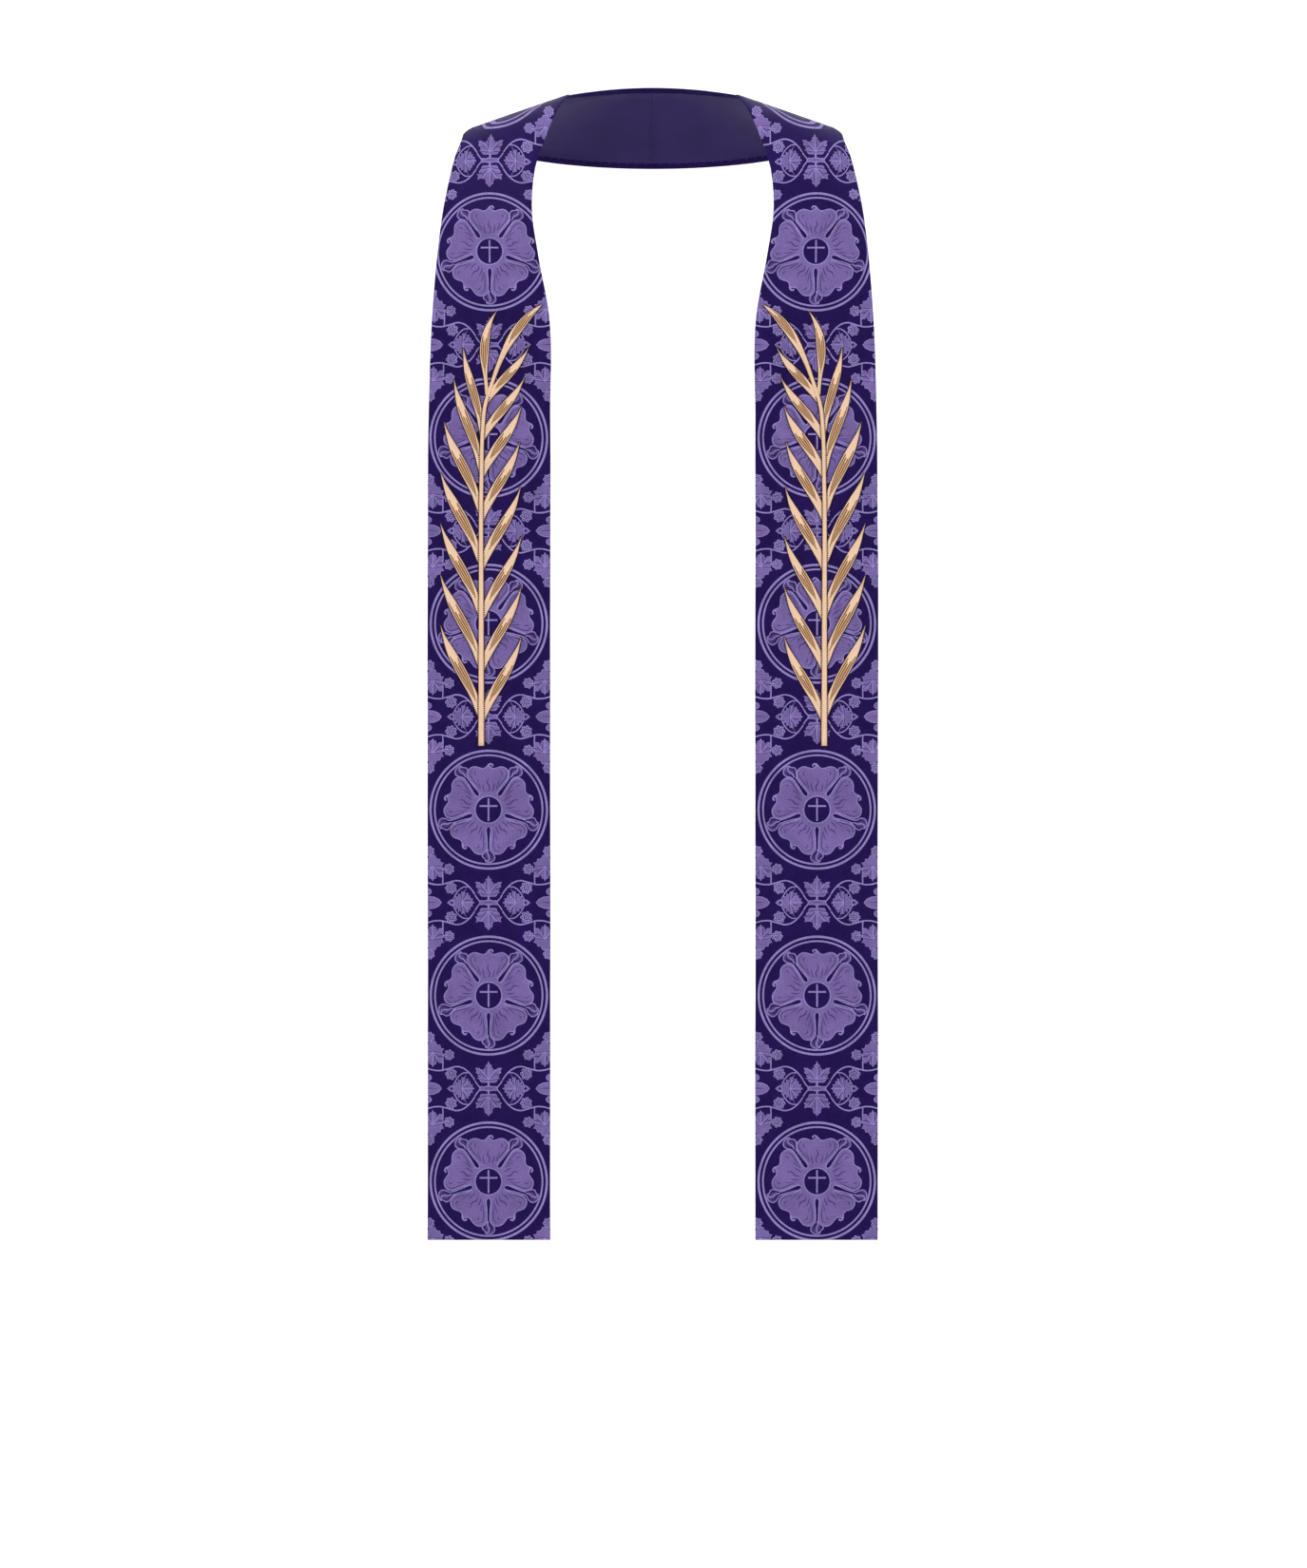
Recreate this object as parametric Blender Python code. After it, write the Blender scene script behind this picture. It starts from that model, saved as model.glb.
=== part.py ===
"""A clergy stole in the form it has when it is worn: two long brocade panels that hang down
the front, run up over the shoulders and meet in a seam at the nape, each with an embroidered
leafy branch. Sizes are in millimetres and are turned to metres where a mesh is made.

X runs across the wearer, Y from front to back, Z up. The origin is at the nape, at the top of
the centre back seam. Each panel is worked out on the wearer's left and mirrored for the right.
"""
import math

import bmesh
import bpy
import numpy as np

MM = 0.001

# The cut. The width of a front at the hem sets the scale of everything measured on the photograph.
FRONT_WIDTH = 127.0
FRONT_LENGTH = 1186.0
WALL = 2.2
SEAM_GAP = 0.3

# Where the cloth lies on the shoulders, from the point beside the neck
NECK_HALF_WIDTH = 88.9
SHOULDER_HALF_WIDTH = 193.4
SHOULDER_DROP = 35.8
FRONT_INNER_X = 106.3

# The nape lies higher than the point beside the neck, and further back
NAPE_RISE = 8.0
NAPE_BACK = 78.0
OUTER_RIDGE_BACK = 76.0

# The lower edge at the centre back, from the nape
YOKE_BACK = 42.0
YOKE_DROP = 84.0

# The chest carries each edge forward as it falls from the shoulder, along a quarter of an ellipse
CHEST_FALL = 280.0
CHEST_REACH_INNER = 128.0
CHEST_REACH_OUTER = 110.0

# Angles round the neck of the sections behind the shoulder, up to the centre back seam at 90. The
# last one lies past the seam, and only makes the curve run straight across it.
BACK_ANGLES = (18.0, 36.0, 54.0, 72.0, 90.0, 108.0)
BACK_CROWN = 3.0

# Sections of a front, top to bottom. x is across from the centre line, z is down from the point
# beside the neck, and crown is how far the middle stands out from a straight line between edges.
FRONT_COLUMNS = ("inner_x", "inner_z", "outer_x", "outer_z", "crown")
FRONT_SECTIONS = (
    (NECK_HALF_WIDTH, 0.0, SHOULDER_HALF_WIDTH, -SHOULDER_DROP, 0.5),
    (99.5, -14.4, 199.1, -48.0, 2.0),
    (112.5, -45.5, 205.8, -65.0, 4.0),
    (121.1, -70.0, 210.7, -84.7, 5.0),
    (125.5, -113.0, 217.0, -115.2, 5.5),
    (119.0, -164.4, 223.5, -164.4, 5.5),
    (107.7, -225.5, 228.6, -225.5, 4.5),
    (FRONT_INNER_X, -335.0, 232.3, -335.0, 3.0),
    (FRONT_INNER_X, -450.0, FRONT_INNER_X + FRONT_WIDTH, -450.0, 2.5),
    (FRONT_INNER_X, -800.0, FRONT_INNER_X + FRONT_WIDTH, -800.0, 2.0),
    (FRONT_INNER_X, -FRONT_LENGTH, FRONT_INNER_X + FRONT_WIDTH, -FRONT_LENGTH, 2.0),
)

# How finely the panels are divided, and the angle from which an edge is shaded sharp
COLUMNS = 8
LOWER_ROW = 34.0
UPPER_ROW = 11.0
UPPER_LENGTH = 520.0
SHARP_ANGLE = math.radians(40.0)

# The embroidered branch, measured up from the hem and out from a front's middle line
BRANCH_GAP = 0.4
BRANCH_EDGE = 0.7
BRANCH_CROWN = 0.7
STEM_CROWN = 0.9
STEM_POINTS = ((6.9, 512.0), (6.9, 650.0), (6.9, 790.0), (4.5, 848.0), (-2.0, 890.0), (-12.0, 920.0))
STEM_HALF_WIDTHS = (3.2, 2.9, 2.6, 2.3, 2.1, 2.0)
STEM_ROWS = 22

# Leaves by height. base is where a leaf leaves the stem, reach how far out of there its tip is,
# rise how far the tip is above the base, and half its greatest half width.
LEAF_COLUMNS = ("base", "reach", "rise", "half")
OUTER_LEAVES = (
    (541.0, 42.0, 93.0, 5.8),
    (596.0, 42.4, 92.0, 5.8),
    (650.0, 42.4, 91.0, 5.8),
    (703.0, 42.0, 89.0, 5.8),
    (761.0, 39.0, 87.0, 5.6),
    (805.0, 29.5, 88.0, 5.2),
    (844.0, 20.5, 80.0, 4.9),
)
INNER_LEAVES = (
    (534.0, -40.0, 88.0, 5.8),
    (587.0, -40.0, 86.0, 5.8),
    (641.0, -40.0, 84.0, 5.8),
    (695.0, -39.8, 83.0, 5.8),
    (747.0, -39.8, 79.0, 5.7),
    (792.0, -40.6, 69.0, 5.4),
    (832.0, -44.0, 62.0, 5.2),
    (868.0, -44.5, 55.0, 4.9),
)
# A leaf leaves the stem steeply, spreads, and turns up again at its tip. These are its slopes off
# the straight line from base to tip, where it starts and where it ends.
LEAF_LEANS = (-0.16, -0.19)
LEAF_ROWS = 8
# The two leaves at the top, from a point on the stem to a tip as (out, up), and their own leans
TOP_LEAVES = (
    {"base": (1.0, 884.0), "tip": (-9.5, 959.0), "half": 5.3, "leans": (0.36, -0.52)},
    {"base": (-6.0, 902.0), "tip": (-54.5, 968.5), "half": 5.8, "leans": (0.30, -0.30)},
)
LEAF_PEAK_POWER = 1.1
LEAF_TAPER_POWER = 1.4
LEAF_BASE_SHARE = 0.3
LEAF_TIP = 0.2

BROCADE = ("brocade", (0.050, 0.028, 0.145, 1.0), 0.62, 0.0)
GOLD_THREAD = ("gold_thread", (0.80, 0.52, 0.28, 1.0), 0.45, 0.0)


def new_collection(name):
    """A collection in the scene, for the parts or for the shapes that are joined into them."""
    made = bpy.data.collections.new(name)
    bpy.context.scene.collection.children.link(made)
    return made


def material(name, colour, roughness, metallic):
    """A plain surface with one colour."""
    made = bpy.data.materials.new(name)
    made.use_nodes = True
    surface = made.node_tree.nodes["Principled BSDF"]
    surface.inputs["Base Color"].default_value = colour
    surface.inputs["Roughness"].default_value = roughness
    surface.inputs["Metallic"].default_value = metallic
    return made


def chest_depth(drop, reach):
    """How far forward of the shoulder the cloth lies, drop below the shoulder line."""
    share = min(max(drop / CHEST_FALL, 0.0), 1.0)
    return reach * math.sqrt(1.0 - (1.0 - share) ** 2)


def shoulder_line(x):
    """The height of the shoulder line at x, from the point beside the neck."""
    return -SHOULDER_DROP * (x - NECK_HALF_WIDTH) / (SHOULDER_HALF_WIDTH - NECK_HALF_WIDTH)


def back_section(angle):
    """(inner edge, outer edge, crown) of a section behind the shoulder."""
    turn = math.radians(angle)
    across, behind = math.cos(turn), math.sin(turn)
    seam = SEAM_GAP / 2
    inner = (
        seam + (NECK_HALF_WIDTH - seam) * across,
        NAPE_BACK * (behind - 1.0),
        NAPE_RISE * (behind**2 - 1.0),
    )
    outer = (
        seam + (SHOULDER_HALF_WIDTH - seam) * across,
        -OUTER_RIDGE_BACK + (OUTER_RIDGE_BACK + YOKE_BACK) * behind,
        -NAPE_RISE - SHOULDER_DROP - (YOKE_DROP - NAPE_RISE - SHOULDER_DROP) * behind,
    )
    return inner, outer, BACK_CROWN


def front_section(row):
    """(inner edge, outer edge, crown) of a section of the front."""
    size = dict(zip(FRONT_COLUMNS, row))
    edges = []
    for edge, reach, ridge in (
        ("inner", CHEST_REACH_INNER, NAPE_BACK),
        ("outer", CHEST_REACH_OUTER, OUTER_RIDGE_BACK),
    ):
        x, z = size[edge + "_x"], size[edge + "_z"]
        depth = chest_depth(shoulder_line(x) - z, reach)
        edges.append((x, -ridge - depth, z - NAPE_RISE))
    return edges[0], edges[1], size["crown"]


def smooth_curve(knots, values, at):
    """Values at the given places on a curve through all knots, with the slope of its neighbours."""
    knots = np.asarray(knots, float)
    values = np.asarray(values, float).reshape(len(knots), -1)
    step = np.diff(knots)[:, None]
    secant = np.diff(values, axis=0) / step
    slope = np.vstack(
        [
            secant[:1],
            (secant[:-1] * step[1:] + secant[1:] * step[:-1]) / (step[:-1] + step[1:]),
            secant[-1:],
        ]
    )
    i = np.clip(np.searchsorted(knots, at, side="right") - 1, 0, len(knots) - 2)
    u = ((at - knots[i]) / (knots[i + 1] - knots[i]))[:, None]
    h = step[i]
    return (
        values[i] * (1 + 2 * u) * (1 - u) ** 2
        + slope[i] * h * u * (1 - u) ** 2
        + values[i + 1] * u**2 * (3 - 2 * u)
        - slope[i + 1] * h * u**2 * (1 - u)
    )


class Cloth:
    """The outer face of one panel. A point on it has a height, measured along the panel's middle
    line from the hem to the seam at the nape, and a share across, from -1 at the neck to 1."""

    SAMPLES = 1600

    def __init__(self):
        sections = [front_section(row) for row in reversed(FRONT_SECTIONS)]
        sections += [back_section(angle) for angle in BACK_ANGLES]
        inner = np.array([s[0] for s in sections])
        outer = np.array([s[1] for s in sections])
        crown = np.array([[s[2]] for s in sections])
        middle = (inner + outer) / 2
        knots = np.concatenate([[0.0], np.cumsum(np.linalg.norm(np.diff(middle, axis=0), axis=1))])
        table = np.hstack([inner, outer, crown])
        fine = smooth_curve(knots, table, np.linspace(0.0, knots[-2], self.SAMPLES))
        middle = (fine[:, 0:3] + fine[:, 3:6]) / 2
        run = np.linalg.norm(np.diff(middle, axis=0), axis=1)
        self.height = np.concatenate([[0.0], np.cumsum(run)])
        self.length = float(self.height[-1])
        across = fine[:, 3:6] - fine[:, 0:3]
        along = np.gradient(middle, axis=0)
        normal = np.cross(across, along)
        normal[-1, 0] = 0.0
        normal /= np.linalg.norm(normal, axis=1)[:, None]
        self.rows = np.hstack([fine, normal])

    def row(self, height):
        """(inner edge, outer edge, crown, outward direction) at each height."""
        read = [np.interp(height, self.height, self.rows[:, k]) for k in range(self.rows.shape[1])]
        rows = np.stack(read, axis=-1)
        return rows[..., 0:3], rows[..., 3:6], rows[..., 6:7], rows[..., 7:10]

    def half_width(self, height):
        """Half the width of the cloth at each height."""
        inner, outer, _, _ = self.row(height)
        return np.linalg.norm(outer - inner, axis=-1) / 2

    def point(self, height, share, off=0.0):
        """Points on the outer face, moved off it by a distance along its outward direction."""
        inner, outer, crown, normal = self.row(height)
        share = np.asarray(share, float)[..., None]
        off = np.asarray(off, float)[..., None]
        middle = (inner + outer) / 2 + share * (outer - inner) / 2
        return middle + normal * (crown * (1 - share**2) + off)


def slab(columns, rows):
    """A closed slab of columns by rows faces, with x and y from -1 to 1 and z from 0 to 1."""
    mesh = bmesh.new()
    bmesh.ops.create_grid(mesh, x_segments=columns, y_segments=rows, size=1.0)
    raised = bmesh.ops.extrude_face_region(mesh, geom=mesh.faces[:], use_keep_orig=True)
    for vertex in (item for item in raised["geom"] if isinstance(item, bmesh.types.BMVert)):
        vertex.co.z = 1.0
    bmesh.ops.recalc_face_normals(mesh, faces=mesh.faces)
    return mesh


def place(mesh, points_of):
    """Moves each corner (x, y, z) of a slab to where points_of puts it."""
    corners = np.array([v.co for v in mesh.verts], float)
    points = points_of(corners[:, 0], corners[:, 1], corners[:, 2])
    for vertex, point in zip(mesh.verts, points):
        vertex.co = point


def add_object(name, mesh, collection, finish=None):
    """Turns an edit mesh into a named object."""
    data = bpy.data.meshes.new(name)
    mesh.to_mesh(data)
    mesh.free()
    data.shade_smooth()
    data.set_sharp_from_angle(angle=SHARP_ANGLE)
    made = bpy.data.objects.new(name, data)
    if finish is not None:
        data.materials.append(finish)
    collection.objects.link(made)
    return made


def mirror_across(mesh):
    """Turns a panel for the wearer's left into one for the right."""
    for vertex in mesh.verts:
        vertex.co.x = -vertex.co.x
    bmesh.ops.reverse_faces(mesh, faces=mesh.faces)


def row_heights(length):
    """Heights of a panel's rows: wide where the front hangs straight, close over the shoulder."""
    lower = length - UPPER_LENGTH
    low = np.linspace(0.0, lower, round(lower / LOWER_ROW) + 1)
    high = np.linspace(lower, length, round(UPPER_LENGTH / UPPER_ROW) + 1)
    return np.concatenate([low, high[1:]])


def make_panel(name, cloth, side, collection, finish):
    """One panel, from the hem to the seam at the nape."""
    heights = row_heights(cloth.length)
    mesh = slab(COLUMNS, len(heights) - 1)
    steps = np.linspace(-1.0, 1.0, len(heights))

    def points_of(x, y, z):
        return cloth.point(np.interp(y, steps, heights), x, (z - 1.0) * WALL) * MM

    place(mesh, points_of)
    if side == "right":
        mirror_across(mesh)
    return add_object(name, mesh, collection, finish)


def leaf_half_width(share, half):
    """Half the width of a leaf's blade, from its base at 0 to its tip at 1."""
    blade = np.sin(np.pi * share**LEAF_PEAK_POWER).clip(0.0) ** LEAF_TAPER_POWER
    return half * np.maximum(blade, LEAF_BASE_SHARE * (1.0 - share))


def flat_blade(name, axis_of, half_of, rows, crown, collection):
    """A strip along an axis in the flat, ridged along its middle, as a solid in millimetres."""
    mesh = slab(2, rows)

    def points_of(x, y, z):
        share = (y + 1) / 2
        step = 1e-4
        axis = axis_of(share)
        heading = axis_of(np.minimum(share + step, 1.0)) - axis_of(np.maximum(share - step, 0.0))
        heading /= np.linalg.norm(heading, axis=1)[:, None]
        sideways = np.column_stack([heading[:, 1], -heading[:, 0]])
        half = half_of(share)
        flat = axis + sideways * (x * half)[:, None]
        return np.column_stack([flat, z * (BRANCH_EDGE + crown * (1 - x**2) * half / half.max())])

    place(mesh, points_of)
    return add_object(name, mesh, collection)


def leaf_axis(base, tip, leans):
    """The middle line of a leaf: straight from base to tip, but for its slopes at the two ends,
    which are towards the outer edge of the panel where they are above 0."""
    base, tip = np.array(base), np.array(tip)
    chord = tip - base
    sideways = np.array([chord[1], -chord[0]])

    def axis_of(share):
        bulge = leans[0] * share * (1 - share) ** 2 - leans[1] * share**2 * (1 - share)
        return base + share[:, None] * chord + bulge[:, None] * sideways

    return axis_of


def stem_axis(share):
    """The stem's middle line, (out, up) at shares of its length."""
    up = [p[1] for p in STEM_POINTS]
    at = up[0] + share * (up[-1] - up[0])
    return smooth_curve(up, STEM_POINTS, at)


def stem_out(up):
    """How far out the stem is at a height."""
    heights = [p[1] for p in STEM_POINTS]
    return float(smooth_curve(heights, STEM_POINTS, np.array([up]))[0, 0])


def stem_half_width(share):
    """Half the stem's width at shares of its length."""
    knots = np.linspace(0.0, 1.0, len(STEM_HALF_WIDTHS))
    return smooth_curve(knots, STEM_HALF_WIDTHS, share)[:, 0]


def branch_leaves():
    """Every leaf in the flat, with its base, tip, half width and leans."""
    leaves = []
    for row in OUTER_LEAVES + INNER_LEAVES:
        leaf = dict(zip(LEAF_COLUMNS, row))
        out, up = stem_out(leaf["base"]), leaf["base"]
        outward = math.copysign(1.0, leaf["reach"])
        leaves.append(
            {
                "base": (out, up),
                "tip": (out + leaf["reach"], up + leaf["rise"]),
                "half": leaf["half"],
                "leans": [outward * lean for lean in LEAF_LEANS],
            }
        )
    return leaves + list(TOP_LEAVES)


def flat_branch(shapes):
    """The whole branch in the flat, one solid: the stem with every leaf joined to it."""
    stem = flat_blade("stem", stem_axis, stem_half_width, STEM_ROWS, STEM_CROWN, shapes)
    leaves = new_collection("leaves")
    for number, leaf in enumerate(branch_leaves()):
        axis_of = leaf_axis(leaf["base"], leaf["tip"], leaf["leans"])

        def half_of(share, half=leaf["half"]):
            return np.maximum(leaf_half_width(share, half), LEAF_TIP)

        flat_blade(f"leaf_{number}", axis_of, half_of, LEAF_ROWS, BRANCH_CROWN, leaves)
    union = stem.modifiers.new("leaves", "BOOLEAN")
    union.operation = "UNION"
    union.operand_type = "COLLECTION"
    union.collection = leaves
    union.solver = "EXACT"
    bpy.context.view_layer.update()
    return bpy.data.meshes.new_from_object(stem.evaluated_get(bpy.context.evaluated_depsgraph_get()))


def make_branch(name, flat, cloth, side, collection, finish):
    """One branch, laid on its panel from the flat shape by the panel's own points."""
    mesh = bmesh.new()
    mesh.from_mesh(flat)
    # The union's corners come in no fixed order. Sorted, the merge always keeps the same ones.
    mesh.verts.sort(key=lambda vertex: vertex.co.y * 1000.0 + vertex.co.x + vertex.co.z / 1000.0)
    bmesh.ops.remove_doubles(mesh, verts=mesh.verts, dist=0.1)
    bmesh.ops.triangulate(mesh, faces=mesh.faces)

    def points_of(out, up, thick):
        return cloth.point(up, out / cloth.half_width(up), BRANCH_GAP + thick) * MM

    place(mesh, points_of)
    if side == "right":
        mirror_across(mesh)
    return add_object(name, mesh, collection, finish)


def main():
    for old in list(bpy.data.objects):
        bpy.data.objects.remove(old)
    stole = new_collection("stole")
    shapes = new_collection("shapes")
    brocade = material(*BROCADE)
    gold_thread = material(*GOLD_THREAD)
    cloth = Cloth()
    flat = flat_branch(shapes)
    for side in ("right", "left"):
        make_panel(f"panel_{side}", cloth, side, stole, brocade)
        make_branch(f"branch_{side}", flat, cloth, side, stole, gold_thread)
    for guide in list(shapes.objects) + list(bpy.data.collections["leaves"].objects):
        guide.hide_render = True
        guide.display_type = "WIRE"


main()
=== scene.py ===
import math

import bmesh
import bpy
import numpy as np
from mathutils import Matrix, Vector, geometry


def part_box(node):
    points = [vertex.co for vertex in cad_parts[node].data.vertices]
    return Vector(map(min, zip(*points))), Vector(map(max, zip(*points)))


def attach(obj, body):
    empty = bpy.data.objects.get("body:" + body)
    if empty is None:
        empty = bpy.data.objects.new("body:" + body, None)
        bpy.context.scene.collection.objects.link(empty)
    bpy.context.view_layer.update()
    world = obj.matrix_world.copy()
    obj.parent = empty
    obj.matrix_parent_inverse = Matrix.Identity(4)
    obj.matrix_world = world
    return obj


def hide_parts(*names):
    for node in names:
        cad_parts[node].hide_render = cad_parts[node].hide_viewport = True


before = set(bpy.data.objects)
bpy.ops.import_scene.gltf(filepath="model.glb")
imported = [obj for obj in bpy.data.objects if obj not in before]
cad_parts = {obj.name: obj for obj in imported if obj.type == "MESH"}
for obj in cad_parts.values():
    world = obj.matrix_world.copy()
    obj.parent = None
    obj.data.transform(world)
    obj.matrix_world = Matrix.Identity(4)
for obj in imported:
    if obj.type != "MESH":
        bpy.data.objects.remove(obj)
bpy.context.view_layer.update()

bpy.ops.object.select_all(action="DESELECT")

# The cut of the two panels and the way they hang
# A stole is two long strips of lined brocade, joined at the back of the neck. Each lies over a
# shoulder and hangs straight down the front. Sizes here are in millimetres, for the wearer's
# left, from the point beside the neck, with x across and z up.
MM = 0.001
NAPE_RISE = 8.0
NAPE_BACK = 78.0
OUTER_RIDGE_BACK = 76.0
NECK_HALF_WIDTH = 88.9
SHOULDER_HALF_WIDTH = 193.4
SHOULDER_DROP = 35.8
YOKE_BACK = 42.0
YOKE_DROP = 84.0
CHEST_FALL = 280.0
CHEST_REACH_INNER = 128.0
CHEST_REACH_OUTER = 110.0
SEAM_LAP = 0.1
WALL = 2.2
FRONT_WIDTH = 127.0
FRONT_LENGTH = -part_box("panel_left")[0].z / MM - NAPE_RISE
FRONT_INNER_X = 106.3
FRONT_MIDDLE_X = FRONT_INNER_X + FRONT_WIDTH / 2
BACK_ANGLES = (18.0, 36.0, 54.0, 72.0, 90.0, 108.0)
BACK_CROWN = 3.0
FRONT_COLUMNS = ("inner_x", "inner_z", "outer_x", "outer_z", "crown")
FRONT_SECTIONS = (
    (NECK_HALF_WIDTH, 0.0, SHOULDER_HALF_WIDTH, -SHOULDER_DROP, 0.5),
    (99.5, -14.4, 199.1, -48.0, 2.0),
    (112.5, -45.5, 205.8, -65.0, 4.0),
    (121.1, -70.0, 210.7, -84.7, 5.0),
    (125.5, -113.0, 217.0, -115.2, 5.5),
    (119.0, -164.4, 223.5, -164.4, 5.5),
    (107.7, -225.5, 228.6, -225.5, 4.5),
    (FRONT_INNER_X, -335.0, 232.3, -335.0, 3.0),
    (FRONT_INNER_X, -450.0, FRONT_INNER_X + FRONT_WIDTH, -450.0, 2.5),
    (FRONT_INNER_X, -800.0, FRONT_INNER_X + FRONT_WIDTH, -800.0, 2.0),
    (FRONT_INNER_X, -FRONT_LENGTH, FRONT_INNER_X + FRONT_WIDTH, -FRONT_LENGTH, 2.0),
)


def chest_depth(drop, reach):
    """How far forward of the shoulder the cloth lies, drop below the shoulder line."""
    share = min(max(drop / CHEST_FALL, 0.0), 1.0)
    return reach * math.sqrt(1.0 - (1.0 - share) ** 2)


def shoulder_line(x):
    """The height of the shoulder line at x."""
    return -SHOULDER_DROP * (x - NECK_HALF_WIDTH) / (SHOULDER_HALF_WIDTH - NECK_HALF_WIDTH)


def back_section(angle):
    """(inner edge, outer edge, crown) behind the shoulder."""
    turn = math.radians(angle)
    across, behind = math.cos(turn), math.sin(turn)
    seam = -SEAM_LAP / 2
    inner = (
        seam + (NECK_HALF_WIDTH - seam) * across,
        NAPE_BACK * (behind - 1.0),
        NAPE_RISE * (behind**2 - 1.0),
    )
    outer = (
        seam + (SHOULDER_HALF_WIDTH - seam) * across,
        -OUTER_RIDGE_BACK + (OUTER_RIDGE_BACK + YOKE_BACK) * behind,
        -NAPE_RISE - SHOULDER_DROP - (YOKE_DROP - NAPE_RISE - SHOULDER_DROP) * behind,
    )
    return inner, outer, BACK_CROWN


def front_section(row):
    """(inner edge, outer edge, crown) down the front."""
    size = dict(zip(FRONT_COLUMNS, row))
    edges = []
    for edge, reach, ridge in (
        ("inner", CHEST_REACH_INNER, NAPE_BACK),
        ("outer", CHEST_REACH_OUTER, OUTER_RIDGE_BACK),
    ):
        x, z = size[edge + "_x"], size[edge + "_z"]
        depth = chest_depth(shoulder_line(x) - z, reach)
        edges.append((x, -ridge - depth, z - NAPE_RISE))
    return edges[0], edges[1], size["crown"]


def smooth_curve(knots, values, at):
    """Values at the given places on a curve through all knots, with the slope of its neighbours."""
    knots = np.asarray(knots, float)
    values = np.asarray(values, float).reshape(len(knots), -1)
    step = np.diff(knots)[:, None]
    secant = np.diff(values, axis=0) / step
    inside = (secant[:-1] * step[1:] + secant[1:] * step[:-1]) / (step[:-1] + step[1:])
    slope = np.vstack([secant[:1], inside, secant[-1:]])
    i = np.clip(np.searchsorted(knots, at, side="right") - 1, 0, len(knots) - 2)
    u = ((at - knots[i]) / (knots[i + 1] - knots[i]))[:, None]
    rise = values[i] * (1 + 2 * u) * (1 - u) ** 2 + values[i + 1] * u**2 * (3 - 2 * u)
    lean = slope[i] * u * (1 - u) ** 2 - slope[i + 1] * u**2 * (1 - u)
    return rise + lean * step[i]


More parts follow.
